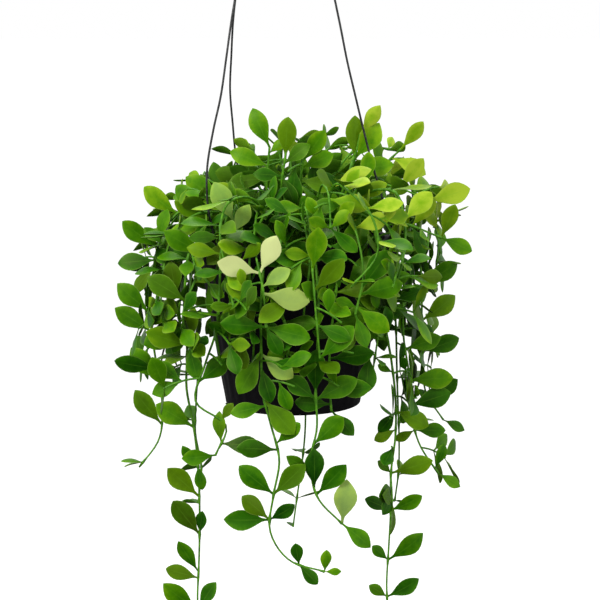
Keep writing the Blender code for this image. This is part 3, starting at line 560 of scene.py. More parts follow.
# Plant: every stem stands in its own hole in the soil, rises, arches over the rim and trails, or stays up in
# the crown. It grows by the rule that the solids follow, so each fine leaf lies where its plain blade does.
UP = Vector((0.0, 0.0, 1.0))
SOIL_Z = -0.411
SOIL_SHOULDER = 0.003
HOLE_SPACING = 0.006
HOLE_DEPTH = 0.024
STEM_RADIUS = 0.0013
STEM_SIDES = 3
STEM_STEP = 0.029
LEAF_THICK = 0.0015
ROOT_SUNK = 0.0006
LEAF_WIDTH = 0.53
LEAF_LENGTH = (0.0245, 0.0320)
CHOSEN_LENGTH = (0.013, 0.034)
LEAF_DROOP = (0.02, 0.14)
BLADE_STATIONS = ((0.38, 0.80), (0.76, 0.91))
CLEARANCE = 0.0005
TURNS = (0, 14, -14, 28, -28, 42, -42, 56, -56)
SIZES = (1.0, 0.86, 0.72)
PAIR_GAP_CROWN = 0.0285
PAIR_GAP_TRAIL = 0.0410
FIRST_PAIR = 0.020
PAIR_TURN = (38, 62)
YOUNG_REACH = 0.045
YOUNG_SHRINK = 0.42
STEM_FOOT = 0.002
STEM_MOUTH = 0.004
ROUTE_TRIES = 60
FIRST_NUDGE = 0.002
NEXT_NUDGE = 0.0002
CHOSEN_LEAN = 0.24
CHOSEN_LIGHT = Vector((0.0, -0.75, 0.25))
CHOSEN_TWIST = 0.3
PAIR_LEAN = 0.25
PAIR_RISE = (0.20, 0.75)
PAIR_AHEAD = 0.3
PAIR_SWING = 14
PAIR_TWIST = 0.5
PAIR_UNEVEN = (0.85, 1.15)
SEEN_AT = (0.35, 0.80)
POT_SHOWS = ((-53, -24, -463), (-50, -30, -478), (-45, -34, -498), (-38, -38, -514), (48, -38, -513))
CHOSEN_STEMS = {
    "trail_far_left": (
        (-44, -6),
        ((-62, -14, -386), (-84, -20, -391), (-100, -26, -430), (-102, -26, -466), (-97, -25, -507),
         (-94, -25, -540), (-100, -25, -565), (-113, -26, -580)),
        ((-101, -455, -121, -433), (-103, -474, -124, -454), (-95, -512, -117, -478), (-98, -500, -131, -497),
         (-98, -543, -113, -514)),
    ),
    "trail_left": (
        (-38, -26),
        ((-52, -38, -384), (-67, -52, -398), (-73, -58, -430), (-73, -55, -473), (-71, -55, -492),
         (-73, -55, -515), (-67, -55, -545), (-64, -55, -590), (-66, -55, -607), (-64, -55, -624),
         (-66, -55, -640), (-64, -55, -661), (-67, -55, -685), (-65, -55, -706)),
        ((-72, -543, -91, -522), (-66, -571, -74, -558), (-64, -594, -88, -563), (-65, -574, -58, -592),
         (-64, -626, -82, -592), (-63, -626, -58, -606), (-66, -660, -86, -652), (-66, -658, -76, -632),
         (-66, -684, -92, -660), (-65, -684, -46, -662), (-65, -706, -80, -716), (-65, -706, -56, -724)),
    ),
    "trail_left_inner": (
        (-26, -40),
        ((-36, -58, -386), (-44, -82, -400), (-46, -88, -436), (-50, -84, -470), (-57, -82, -486),
         (-65, -80, -506), (-62, -80, -520), (-47, -80, -528), (-37, -80, -543), (-50, -80, -556)),
        ((-63, -499, -34, -482), (-50, -530, -37, -515), (-44, -546, -41, -521), (-38, -548, -12, -545),
         (-50, -556, -72, -558)),
    ),
    "trail_centre": (
        (-8, -38),
        ((-10, -62, -384), (-12, -88, -400), (-15, -96, -440), (-15, -92, -475), (-14, -91, -510),
         (-7, -90, -534), (-2, -90, -556), (-4, -90, -577), (-10, -90, -596), (-9, -90, -612),
         (-4, -90, -628), (10, -90, -637), (32, -90, -644)),
        ((-16, -476, 10, -494), (-18, -476, -32, -510), (-13, -510, 16, -538), (-6, -514, -36, -520),
         (-15, -483, -6, -510),
         (-3, -549, -33, -547), (-1, -547, 14, -530), (-7, -582, -31, -558), (-3, -580, 19, -556),
         (-11, -600, -27, -582), (-11, -606, -43, -604), (-10, -605, 11, -594), (12, -637, 9, -619),
         (14, -638, 29, -652), (32, -644, 33, -627), (32, -644, 43, -643)),
    ),
    "trail_centre_right": (
        (16, -40),
        ((20, -62, -386), (24, -86, -402), (27, -94, -440), (26, -90, -480), (25, -88, -509),
         (26, -88, -535), (21, -88, -562), (25, -88, -582), (33, -88, -598), (45, -88, -607)),
        ((25, -510, 23, -472), (27, -512, 58, -492), (25, -511, 3, -494), (18, -547, 44, -524),
         (22, -566, 4, -556), (26, -579, 17, -550), (28, -584, 49, -556), (45, -606, 46, -571),
         (46, -607, 65, -623)),
    ),
    "trail_right": (
        (46, -22),
        ((60, -30, -385), (76, -38, -400), (82, -44, -430), (82, -41, -460), (85, -40, -490),
         (88, -40, -520), (88, -40, -550), (85, -40, -590), (86, -40, -612), (87, -40, -628),
         (83, -40, -650), (83, -40, -682), (85, -40, -704)),
        ((82, -478, 60, -466), (87, -504, 70, -496), (88, -530, 69, -546), (88, -528, 108, -540),
         (87, -548, 66, -556), (85, -583, 71, -571), (86, -583, 112, -570), (86, -612, 58, -601),
         (86, -612, 104, -600), (84, -652, 111, -627), (83, -652, 66, -640), (83, -682, 102, -668),
         (83, -682, 64, -672), (85, -704, 98, -716), (85, -704, 74, -722)),
    ),
    "trail_right_outer": (
        (48, -6),
        ((64, -12, -384), (84, -20, -391), (94, -30, -425), (92, -31, -462), (97, -30, -495),
         (100, -30, -522), (101, -30, -551), (112, -30, -566), (122, -30, -584)),
        ((93, -484, 117, -474), (98, -508, 128, -506), (99, -530, 125, -520), (101, -551, 124, -550),
         (101, -549, 83, -555), (122, -584, 136, -594), (120, -582, 124, -562)),
    ),
    "trail_far_right": (
        (50, 8),
        ((72, 10, -382), (96, 8, -386), (108, 4, -420), (110, 2, -468), (112, 0, -512), (117, 0, -538),
         (128, 0, -548)),
        ((108, -438, 132, -424), (110, -468, 130, -448), (110, -492, 134, -482), (115, -530, 134, -514),
         (128, -548, 142, -556), (117, -536, 104, -520)),
    ),
    "spray_front_pale": (
        (-14, -24),
        ((-17, -50, -374), (-19, -82, -382), (-19, -100, -412), (-10, -106, -432), (-11, -104, -454)),
        ((-19, -414, -2, -385), (-19, -414, -45, -404), (-8, -432, 32, -438), (-12, -453, -50, -449),
         (-9, -454, 24, -461), (-12, -456, 0, -474), (-12, -424, 7, -410)),
    ),
    "spray_front_middle": (
        (10, -26),
        ((15, -52, -372), (20, -82, -378), (22, -102, -412), (27, -106, -432), (25, -106, -452),
         (28, -104, -477)),
        ((22, -413, 26, -382), (27, -428, 44, -405), (25, -449, 49, -460), (28, -477, 50, -453),
         (21, -405, 2, -400)),
    ),
    "spray_front_low": (
        (26, -34),
        ((36, -58, -376), (43, -78, -394), (40, -83, -430), (36, -82, -470), (35, -80, -505), (37, -79, -522)),
        ((36, -483, 66, -478), (35, -508, 64, -503), (38, -458, 62, -446), (37, -522, 52, -540),
         (35, -515, 8, -512), (37, -470, 22, -462)),
    ),
    "spray_front_right": (
        (30, -24),
        ((40, -44, -370), (52, -74, -377), (58, -90, -408), (61, -94, -430), (54, -95, -446)),
        ((61, -428, 76, -396), (61, -434, 84, -423), (57, -440, 76, -456), (52, -446, 60, -470),
         (54, -440, 38, -432)),
    ),
    "spray_front_upper": (
        (24, -8),
        ((28, -30, -362), (34, -62, -358), (36, -86, -384)),
        ((35, -388, 47, -370), (36, -384, 54, -400), (34, -364, 62, -368), (34, -384, 18, -376)),
    ),
    "spray_right_long": (
        (38, -4),
        ((46, -12, -386), (61, -20, -359), (86, -22, -359), (100, -20, -368), (112, -20, -371)),
        ((112, -371, 144, -358), (90, -360, 104, -339), (104, -369, 112, -390), (64, -359, 60, -334)),
    ),
    "spray_right_low": (
        (40, -18),
        ((60, -28, -390), (78, -34, -382), (98, -32, -389), (122, -28, -398)),
        ((122, -398, 126, -372), (122, -398, 141, -408), (98, -389, 106, -412), (80, -382, 70, -404),
         (100, -390, 112, -368)),
    ),
    "spray_right_tall": (
        (30, 8),
        ((40, 4, -380), (52, -5, -352), (56, -9, -334), (60, -9, -320)),
        ((56, -338, 72, -303), (55, -338, 47, -301), (60, -320, 70, -298), (54, -350, 80, -344),
         (46, -366, 28, -350)),
    ),
    "spray_right_top": (
        (38, 18),
        ((54, 14, -376), (72, 6, -352), (84, 2, -340), (92, 0, -332)),
        ((92, -332, 104, -311), (74, -350, 68, -326), (84, -340, 106, -352), (68, -354, 92, -366)),
    ),
    "spray_top_right": (
        (12, 4),
        ((13, -4, -372), (14, -9, -352), (16, -11, -336)),
        ((16, -338, 29, -315), (15, -345, 36, -334), (14, -356, 36, -362), (16, -340, 2, -322)),
    ),
    "spray_top_middle": (
        (0, -12),
        ((-1, -18, -372), (0, -24, -350), (3, -26, -332)),
        ((3, -334, 6, -304), (2, -340, 22, -326), (0, -352, -20, -348), (0, -352, 12, -372)),
    ),
    "spray_top_left": (
        (-10, 2),
        ((-12, -3, -372), (-12, -6, -350), (-10, -8, -330)),
        ((-10, -330, -17, -301), (-12, -342, -34, -331), (-10, -332, 6, -322), (-12, -356, -36, -358)),
    ),
    "spray_left_front": (
        (-24, -10),
        ((-30, -28, -374), (-36, -50, -374), (-38, -68, -396)),
        ((-37, -381, -45, -354), (-37, -392, -17, -373), (-38, -396, -58, -404), (-32, -375, -54, -366)),
    ),
    "spray_left_top": (
        (-28, 4),
        ((-40, -2, -376), (-52, -14, -374), (-58, -24, -388)),
        ((-57, -386, -78, -372), (-46, -374, -68, -354), (-56, -380, -42, -360), (-58, -388, -82, -394)),
    ),
    "spray_left_far": (
        (-44, 6),
        ((-60, 0, -382), (-80, -8, -380), (-97, -14, -404), (-100, -16, -422)),
        ((-98, -406, -120, -385), (-100, -420, -123, -421), (-94, -400, -84, -376), (-82, -381, -100, -362),
         (-100, -422, -112, -442)),
    ),
    "spray_left_low": (
        (-34, -12),
        ((-46, -34, -388), (-56, -60, -402), (-66, -74, -425), (-72, -76, -444), (-68, -76, -474)),
        ((-58, -408, -90, -388), (-72, -440, -97, -419), (-68, -474, -101, -462), (-70, -462, -94, -488),
         (-66, -428, -46, -420), (-68, -474, -58, -500)),
    ),
}
FRONT_FALLS = ((229, -0.455), (246, -0.520), (263, -0.515), (280, -0.528), (316, -0.505))
BACK_TRAILS = ((28, -0.66), (58, -0.56), (88, -0.68), (118, -0.57), (150, -0.64))
LOW_ARCHES = (
    (14, 0), (42, 0), (72, 0), (103, 4), (134, 12), (166, 22), (204, 22), (243, 6), (296, 0), (322, 0),
)
HIGH_ARCHES = ((28, 0), (60, 0), (92, 0), (124, 14), (158, 32), (222, 32))
RISERS = ((45, 0), (110, 4), (170, 12))
FALL_ROUTE = ((0.052, -0.374), (0.073, -0.374), (0.086, -0.394), (0.088, -0.425))
TRAIL_ROUTE = ((0.060, -0.386), (0.082, -0.387), (0.094, -0.415), (0.095, -0.455))
LOW_ROUTE = ((0.046, -0.376), (0.072, -0.358), (0.098, -0.368), (0.112, -0.396), (0.113, -0.428))
HIGH_ROUTE = ((0.030, -0.372), (0.044, -0.346), (0.066, -0.330), (0.090, -0.340))
RISER_ROUTE = ((0.022, -0.372), (0.027, -0.345), (0.034, -0.326))
FIRST_LOWERED = 0.4
HANG_STEP = 0.035
HANG_SWAY = 0.005
HANG_WANDER = 5
ROUTE_WANDER = 3
ARCH_SWAY = 0.006
ARCH_REACH = (0.95, 1.05)
ROOTED_AT = {"spray_fall": 0.044, "trail_back": 0.050, "spray_low": 0.038, "spray_high": 0.026,
             "spray_upright": 0.015}
SEED = 11


def outward_from_pot(point):
    """The level direction away from the pot's axis."""
    away = Vector((point.x - POT_X, point.y, 0.0))
    return away.normalized() if away.length > 0.001 else Vector((0.0, -1.0, 0.0))


def bridge_rings(bm, rings):
    """Joins rings of vertices side by side with triangles split alike, and closes both ends."""
    for low, high in zip(rings, rings[1:]):
        count = len(low)
        for k in range(count):
            n = (k + 1) % count
            bm.faces.new((low[k], low[n], high[n]))
            bm.faces.new((low[k], high[n], high[k]))
    bm.faces.new(rings[0][::-1])
    bm.faces.new(rings[-1])


def tube(points, radius, sides, grow=0.0):
    """A closed tube along a line of points, as a bmesh."""
    bm = bmesh.new()
    rings = []
    across = None
    for k, point in enumerate(points):
        ahead = points[min(k + 1, len(points) - 1)] - points[max(k - 1, 0)]
        ahead.normalize()
        if across is None:
            across = ahead.orthogonal().normalized()
        across = (across - ahead * across.dot(ahead)).normalized()
        over = ahead.cross(across)
        ring = []
        for j in range(sides):
            angle = math.tau * j / sides
            spoke = across * math.cos(angle) + over * math.sin(angle)
            ring.append(bm.verts.new(point + spoke * (radius + grow)))
        rings.append(ring)
    bridge_rings(bm, rings)
    return bm


def blade(leaf, grow=0.0, rooted=True):
    """A fleshy leaf as a bmesh: flat on top with a ridge underneath, drawn to a point at its tip and at its
    root inside the stem. Without its root it is only the free part of the blade."""
    bm = bmesh.new()
    along = leaf["along"]
    face = leaf["face"]
    side = along.cross(face)
    length = leaf["length"]
    rings = []
    for reach, spread in BLADE_STATIONS:
        half = spread * length * LEAF_WIDTH / 2 + grow
        middle = leaf["base"] + along * (reach * length) - face * (leaf["droop"] * length * reach**2)
        top = middle + face * (LEAF_THICK / 2 + grow)
        low = middle - face * (LEAF_THICK / 2 + grow)
        rings.append([bm.verts.new(point) for point in (top - side * half, top + side * half, low)])
    low, high = rings
    for k, n in ((0, 1), (2, 0), (2, 1)):
        bm.faces.new((low[k], low[n], high[n]))
        bm.faces.new((low[k], high[n], high[k]))
    tip_reach = leaf["base"] + along * (length + grow) - face * (leaf["droop"] * length)
    tip = bm.verts.new(tip_reach + face * (LEAF_THICK / 2))
    left, right, keel = rings[-1]
    for pair in ((left, right), (right, keel), (keel, left)):
        bm.faces.new((*pair, tip))
    left, right, keel = rings[0]
    if rooted:
        root = bm.verts.new(leaf["base"] - along * (ROOT_SUNK + grow))
        for pair in ((right, left), (keel, right), (left, keel)):
            bm.faces.new((*pair, root))
    else:
        bm.faces.new((left, keel, right))
    bmesh.ops.recalc_face_normals(bm, faces=bm.faces)
    return bm


def tree_of(bm):
    """A search tree of a bmesh's faces, with the ball that holds them."""
    low = Vector(map(min, zip(*(v.co for v in bm.verts))))
    high = Vector(map(max, zip(*(v.co for v in bm.verts))))
    tree = BVHTree.FromBMesh(bm)
    bm.free()
    return {"tree": tree, "low": low, "high": high}


def touch(one, other):
    """Whether two trees' faces cross. A stem's own leaves have nothing of it to keep clear of."""
    if other is None:
        return False
    for k in range(3):
        if one["low"][k] > other["high"][k] or other["low"][k] > one["high"][k]:
            return False
    return bool(one["tree"].overlap(other["tree"]))


def hanger_and_pot_trees():
    """Search trees of the pot's wall and of each hanger wire."""
    pot = tree_of(turned_profile(pot_profile(), POT_SIDES, RIB_DEPTH))
    placed = [{"node": "pot", "whole": pot, "free": None}]
    for name, start in wire_starts().items():
        wire = tube(wire_route(name, start), WIRE_RADIUS, WIRE_SIDES)
        placed.append({"node": name, "whole": tree_of(wire), "free": None})
    return placed


def stem_route(hole, passes):
    """A stem from the bottom of its hole in the soil, up out of it and along its own line."""
    mouth = Vector((hole.x, hole.y, SOIL_Z + STEM_MOUTH))
    bottom = Vector((hole.x, hole.y, SOIL_Z - HOLE_DEPTH + STEM_FOOT))
    return [bottom, *smooth_route([mouth, *passes], STEM_STEP)]


def hanging(azimuth, end_z, route, draw):
    """A stem's points out over the rim along a route, then straight down with a little sway."""
    passes = [round_pot(azimuth + draw.uniform(-ROUTE_WANDER, ROUTE_WANDER), radius, z) for radius, z in route]
    radius, z = route[-1]
    while z - HANG_STEP > end_z:
        z -= HANG_STEP
        swayed = radius + draw.uniform(-HANG_SWAY, HANG_SWAY)
        passes.append(round_pot(azimuth + draw.uniform(-HANG_WANDER, HANG_WANDER), swayed, z))
    return passes


def arching(azimuth, lowered, route, draw):
    """A stem's points along an arching route, which wanders a little more with each point."""
    passes = []
    for step, (radius, z) in enumerate(route):
        turned = azimuth + draw.uniform(-ROUTE_WANDER, ROUTE_WANDER) * step
        height = z - lowered * MM * (1.0 if step else FIRST_LOWERED) + draw.uniform(-ARCH_SWAY, ARCH_SWAY)
        passes.append(round_pot(turned, radius * draw.uniform(*ARCH_REACH), height))
    return passes


def plan_stems():
    """Every stem by name: its hole, the points it passes through, its chosen leaves and whether it trails."""
    plans = {}
    for name, (hole, passes, leaves) in CHOSEN_STEMS.items():
        plans[name] = {"hole": place(*hole, 0), "passes": [place(*p) for p in passes], "chosen": leaves,
                       "trails": name.startswith("trail")}
    draw = random.Random(SEED)
    for kind, line, shape, route in (
        ("spray_fall", hanging, FRONT_FALLS, FALL_ROUTE), ("trail_back", hanging, BACK_TRAILS, TRAIL_ROUTE),
        ("spray_low", arching, LOW_ARCHES, LOW_ROUTE), ("spray_high", arching, HIGH_ARCHES, HIGH_ROUTE),
        ("spray_upright", arching, RISERS, RISER_ROUTE),
    ):
        for k, (azimuth, height) in enumerate(shape):
            plans[f"{kind}_{k + 1}"] = {"hole": round_pot(azimuth, ROOTED_AT[kind], 0), "chosen": (),
                                        "passes": line(azimuth, height, route, draw),
                                        "trails": kind.startswith("trail")}
    return plans


def clear_route(plan, placed, holes, draw):
    """Bends a stem aside until it is clear of the pot, the wires and the stems before it."""
    for tries in range(ROUTE_TRIES):
        sway = FIRST_NUDGE + NEXT_NUDGE * tries if tries else 0.0
        nudge = Vector([draw.uniform(-sway, sway) for _ in range(3)])
        hole = plan["hole"] + Vector((nudge.x, nudge.y, 0.0)) * 1.5
        if any((hole - other).to_2d().length < HOLE_SPACING for other in holes):
            continue
        passes = [p + nudge + Vector([draw.uniform(-sway, sway) / 2 for _ in range(3)])
                  for p in plan["passes"]]
        route = stem_route(hole, passes)
        tree = tree_of(tube(route[1:], STEM_RADIUS, STEM_SIDES, CLEARANCE))
        if not any(touch(tree, other["whole"]) for other in placed):
            return hole, route
    return None, None


def nearest_on(route, x, z):
    """The point of a stem's line that is nearest to a place seen from the front."""
    best = None
    for a, b in zip(route[1:], route[2:]):
        for k in range(9):
            point = a.lerp(b, k / 8)
            distance = math.hypot(point.x - x, point.z - z)
            if best is None or distance < best[0]:
                best = (distance, point)
    return best[1]


def make_leaf(base, along, light, length, twist, draw):
    """A leaf's numbers, with its face turned to the light and then a little about its own length."""
    along = along.normalized()
    face = light - along * light.dot(along)
    face = Matrix.Rotation(twist, 3, along) @ face.normalized()
    return {"base": base, "along": along, "face": face, "length": length, "droop": draw.uniform(*LEAF_DROOP)}


def chosen_leaves(route, chosen, draw):
    """The leaves whose places are listed, as (leaf, axis to turn it about)."""
    leaves = []
    for base_x, base_z, tip_x, tip_z in chosen:
        base = nearest_on(route, base_x * MM, base_z * MM)
        outward = outward_from_pot(base)
        flat = Vector((tip_x * MM - base.x, 0.0, tip_z * MM - base.z))
        along = flat + outward * (CHOSEN_LEAN * flat.length)
        shortest, longest = CHOSEN_LENGTH
        length = min(longest, max(shortest, along.length))
        light = CHOSEN_LIGHT + outward * 0.5
        twist = draw.uniform(-CHOSEN_TWIST, CHOSEN_TWIST)
        leaves.append((make_leaf(base, along, light, length, twist, draw), outward))
    return leaves


def ruled_leaves(route, chosen, trails, draw):
    """Opposite pairs along the rest of a stem, turned out and up to the light, smaller towards its tip."""
    leaves = []
    total = line_length(route)
    gap = PAIR_GAP_TRAIL if trails else PAIR_GAP_CROWN
    reach = (route[1] - route[0]).length + FIRST_PAIR
    turn = draw.uniform(0, 90)
    while reach < total + gap / 2:
        base = point_along(route, min(reach, total - 0.0006))
        ahead = point_along(route, min(reach, total) + 0.001) - point_along(route, min(reach, total) - 0.003)
        ahead.normalize()
        outward = outward_from_pot(base)
        sideways = UP.cross(outward)
        taken = any((leaf["base"] - base).length < gap * 0.55 for leaf, _ in chosen)
        young = 1.0 - YOUNG_SHRINK * max(0.0, 1.0 - (total - reach) / YOUNG_REACH)
        for sign in (1, -1):
            angle = math.radians(turn + draw.uniform(-PAIR_SWING, PAIR_SWING))
            across = sideways * (sign * math.cos(angle)) + outward * (PAIR_LEAN + abs(math.sin(angle)))
            along = across + UP * draw.uniform(*PAIR_RISE) + ahead * PAIR_AHEAD
            length = draw.uniform(*LEAF_LENGTH) * young
            leaf = make_leaf(base, along, outward + UP, length, draw.uniform(-PAIR_TWIST, PAIR_TWIST), draw)
            if not taken:
                leaves.append((leaf, outward))
        turn = (turn + draw.uniform(*PAIR_TURN)) % 75
        reach += gap * draw.uniform(*PAIR_UNEVEN)
    return leaves


def covers(one, in_sight):
    """Whether a leaf's tree lies in front of one of the places that show from the front."""
    for spot in in_sight:
        if (one["low"].x <= spot.x <= one["high"].x and one["low"].z <= spot.z <= one["high"].z
                and one["tree"].ray_cast(spot, Vector((0.0, -1.0, 0.0)))[0]):
            return True
    return False


def fitted(leaf, outward, node, placed, in_sight=()):
    """The leaf, turned or made smaller until it is clear of what is there and hides nothing that shows, or
    None."""
    for size in SIZES:
        for degrees in TURNS:
            turn = Matrix.Rotation(math.radians(degrees), 3, outward)
            tried = dict(leaf, along=turn @ leaf["along"], face=turn @ leaf["face"],
                         length=leaf["length"] * size)
            loose = tree_of(blade(tried, CLEARANCE))
            free = tree_of(blade(tried, rooted=False))
            if covers(loose, in_sight) or any(
                    touch(free, other["free"]) if other["node"] == node else touch(loose, other["whole"])
                    for other in placed):
                continue
            placed.append({"node": node, "whole": tree_of(blade(tried)), "free": free})
            return tried
    return None


def grow_plant(placed):
    """Each stem's line and leaves by name, the holes that the stems stand in, and what stays in sight."""
    draw = random.Random(SEED)
    holes = []
    grown = {}
    for name, plan in plan_stems().items():
        hole, route = clear_route(plan, placed, holes, draw)
        if route is None:
            continue
        holes.append(hole)
        bare = tree_of(tube(route[1:], STEM_RADIUS, STEM_SIDES))
        placed.append({"node": name, "whole": bare, "free": None})
        grown[name] = {"route": route, "plan": plan, "leaves": []}
    soil_top = bmesh.new()
    bmesh.ops.create_circle(soil_top, cap_ends=True, segments=24, radius=NECK_RADIUS,
                            matrix=Matrix.Translation((POT_X, 0, SOIL_Z + SOIL_SHOULDER)))
    placed.append({"node": "soil", "whole": tree_of(soil_top), "free": None})
    in_sight = [place(*spot) for spot in POT_SHOWS]
    for name, stem in grown.items():
        stem["wanted"] = chosen_leaves(stem["route"], stem["plan"]["chosen"], draw)
        for leaf, outward in stem["wanted"]:
            made = fitted(leaf, outward, name, placed)
            stem["leaves"].append(made)
            if made:
                in_sight.extend(made["base"] + made["along"] * (made["length"] * share) for share in SEEN_AT)
    for name, stem in grown.items():
        for leaf, outward in ruled_leaves(stem["route"], stem["wanted"], stem["plan"]["trails"], draw):
            stem["leaves"].append(fitted(leaf, outward, name, placed, in_sight))
    for stem in grown.values():
        stem["leaves"] = [leaf for leaf in stem["leaves"] if leaf]
    return grown, holes, in_sight


# Side shoots: how far apart they leave a stem between its mouth and its tip, how long and thick they are, how
# far they sag, and how they head sideways, away from the pot and upwards.
SHOOT_EVERY = 0.017
SHOOT_UNEVEN = (0.8, 1.2)
SHOOT_FROM_MOUTH = 0.012
SHOOT_FROM_TIP = 0.004
SHOOT_LENGTH = (0.014, 0.030)
SHOOT_RADIUS = 0.0008
SHOOT_SAG = 0.25
SHOOT_SIDEWAYS = (0.5, 1.0)
SHOOT_OUTWARD = (-0.1, 0.6)
SHOOT_UPWARD = (-0.5, 0.5)
# Their leaf pairs: where each stands along the shoot and how grown it is, how long the leaves are, how far
# they point ahead, aside and upwards, and how they turn to the light.
SHOOT_LEAVES = ((0.52, 1.0), (1.0, 0.94))
SHOOT_LEAF = (0.022, 0.031)
SHOOT_LEAF_AHEAD = 0.45
SHOOT_LEAF_ASIDE = 0.8
SHOOT_LEAF_UPWARD = (-0.35, 0.5)
SHOOT_LEAF_LIGHT = 0.6
SHOOT_LEAF_TWIST = (-0.6, 0.6)
# The heights above which each stem has shoots, and the one that no shoot's leaf reaches.
SHOOTS_ABOVE = {"trail_right": -0.590, "trail_right_outer": -0.565}
TRAIL_SHOOTS_ABOVE = -0.505
FALL_SHOOTS_ABOVE = -0.528
SHOOTS_BELOW = -0.343
# Where along and across the stems' front leaves the shoots leave them in sight.
SEEN_ALONG = (0.2, 0.5, 0.75, 0.95)
SEEN_ACROSS = 0.3


def kept_low(leaf):
    """Whether a leaf's tip stays under the crown's open top and inside the box of the solids."""
    tip = leaf["base"] + leaf["along"] * leaf["length"]
    return tip.z < SHOOTS_BELOW and all(low < tip[k] < high for k, (low, high) in enumerate(zip(*cad_box)))


def side_shoots(name, stem, placed, in_sight, draw):
    """Short side shoots with a leaf pair at the middle and the tip of each, where there is room for them."""
    route = stem["route"]
    shoots = []
    lowest = SHOOTS_ABOVE.get(name, TRAIL_SHOOTS_ABOVE if name.startswith("trail") else FALL_SHOOTS_ABOVE)
    reach = (route[1] - route[0]).length + SHOOT_FROM_MOUTH
    total = line_length(route)
    while reach < total - SHOOT_FROM_TIP:
        start = point_along(route, reach)
        reach += SHOOT_EVERY * draw.uniform(*SHOOT_UNEVEN)
        outward = outward_from_pot(start)
        sideways = UP.cross(outward) * draw.choice((-1, 1))
        heading = (sideways * draw.uniform(*SHOOT_SIDEWAYS) + outward * draw.uniform(*SHOOT_OUTWARD)
                   + UP * draw.uniform(*SHOOT_UPWARD)).normalized()
        length = draw.uniform(*SHOOT_LENGTH)
        if start.z < lowest:
            continue
        line = []
        for t in (0.0, 0.33, 0.66, 1.0):
            line.append(start + heading * (length * t) - UP * (SHOOT_SAG * length * t * t))
        whole = tree_of(tube(line[1:], SHOOT_RADIUS, 3))
        if covers(whole, in_sight) or any(touch(whole, other["whole"]) for other in placed
                                          if other["node"] != name):
            continue
        leaves = []
        for share, grown_to in SHOOT_LEAVES:
            base = point_along(line, length * share)
            for sign in (1, -1):
                along = (heading * SHOOT_LEAF_AHEAD + heading.cross(outward) * (sign * SHOOT_LEAF_ASIDE)
                         + UP * draw.uniform(*SHOOT_LEAF_UPWARD))
                size = draw.uniform(*SHOOT_LEAF) * grown_to
                leaf = make_leaf(base, along, outward + UP * SHOOT_LEAF_LIGHT, size,
                                 draw.uniform(*SHOOT_LEAF_TWIST), draw)
                if kept_low(leaf):
                    made = fitted(leaf, outward, f"{name}_shoot_{len(shoots)}", placed, in_sight)
                    if made:
                        leaves.append(made)
        if leaves:
            placed.append({"node": name, "whole": whole, "free": None})
            shoots.append({"line": line, "leaves": leaves})
    return shoots


placed = hanger_and_pot_trees()
grown, _, in_sight = grow_plant(placed)
for stem in grown.values():
    for leaf in stem["leaves"][:len(stem["wanted"])]:
        side = leaf["along"].cross(leaf["face"]) * (leaf["length"] * LEAF_WIDTH * SEEN_ACROSS)
        for share in SEEN_ALONG:
            middle = leaf["base"] + leaf["along"] * (leaf["length"] * share)
            in_sight.extend((middle - side, middle, middle + side))
draw = random.Random(SEED + 1)
for name, stem in grown.items():
    stem["shoots"] = side_shoots(name, stem, placed, in_sight, draw)

# Soil: coir and bark packed into the pot to a finger's width below the rim, with a rough top, chips of bark
# and loose fibres on it.
SOIL_SIDES = 72
SOIL_RINGS = 9
SOIL_RING_WIDTH = 0.0068
SOIL_FROM_WALL = 0.0012
# The top is rough over this depth, and smooth for this width next to the wall.
SOIL_ROUGH_DEPTH = 0.003
SOIL_SMOOTH_EDGE = 0.002
CHIP_COUNT = 150
CHIP_SIZE = (0.0018, 0.0050)
CHIP_FROM_WALL = 0.008
CHIP_LIFT = 0.0018
FIBRE_COUNT = 70
FIBRE_FROM_WALL = 0.014
FIBRE_LIFT = 0.0025
FIBRE_JOINTS = 6
FIBRE_PIECE = 0.0022
FIBRE_RADIUS = 0.00016
COIR_AND_BARK = ((0.30, (0.010, 0.006, 0.004)), (0.72, (0.095, 0.052, 0.027)))

earth, earth_tree, earth_shader = new_material("coir_and_bark", 0.95)
crumbs = specks(earth_tree, 330.0, 8.0, 0.7)
earth_tree.links.new(colour_run(earth_tree, crumbs, COIR_AND_BARK), earth_shader.inputs["Base Color"])
roughen(earth_tree, earth_shader, 0.8, 0.0012, crumbs)

soil_bm = bmesh.new()
soil_foot = BASE_Z + FOOT_HEIGHT + FLOOR + GAP
soil_top = SOIL_Z - SOIL_ROUGH_DEPTH
foot_radius = wall_radius(soil_foot) - WALL - GAP - RIB_DEPTH
top_radius = NECK_RADIUS - WALL - SOIL_FROM_WALL
half_way_up = Matrix.Translation((POT_X, 0, (soil_top + soil_foot) / 2))
bmesh.ops.create_cone(soil_bm, cap_ends=True, segments=SOIL_SIDES, radius1=foot_radius, radius2=top_radius,
                      depth=soil_top - soil_foot, matrix=half_way_up)
top_face = max(soil_bm.faces, key=lambda face: face.calc_center_median().z)
for _ in range(SOIL_RINGS):
    bmesh.ops.inset_region(soil_bm, faces=[top_face], thickness=SOIL_RING_WIDTH)
bmesh.ops.poke(soil_bm, faces=[top_face])
for vert in soil_bm.verts:
    from_middle = math.hypot(vert.co.x - POT_X, vert.co.y)
    if vert.co.z > soil_top - 0.001 and from_middle < top_radius - SOIL_SMOOTH_EDGE:
        rough = noise.noise(vert.co * 95.0) + 0.6 * noise.noise(vert.co * 310.0)
        vert.co.z = SOIL_Z + 0.0005 + 0.0022 * rough
finish_piece("soil_fill", soil_bm, [earth], "soil")


def spot_on_soil(draw, from_wall, lift):
    """A place on the soil that is drawn evenly over its whole top."""
    azimuth = draw.uniform(0, 360)
    return round_pot(azimuth, (NECK_RADIUS - from_wall) * math.sqrt(draw.random()), SOIL_Z + lift)


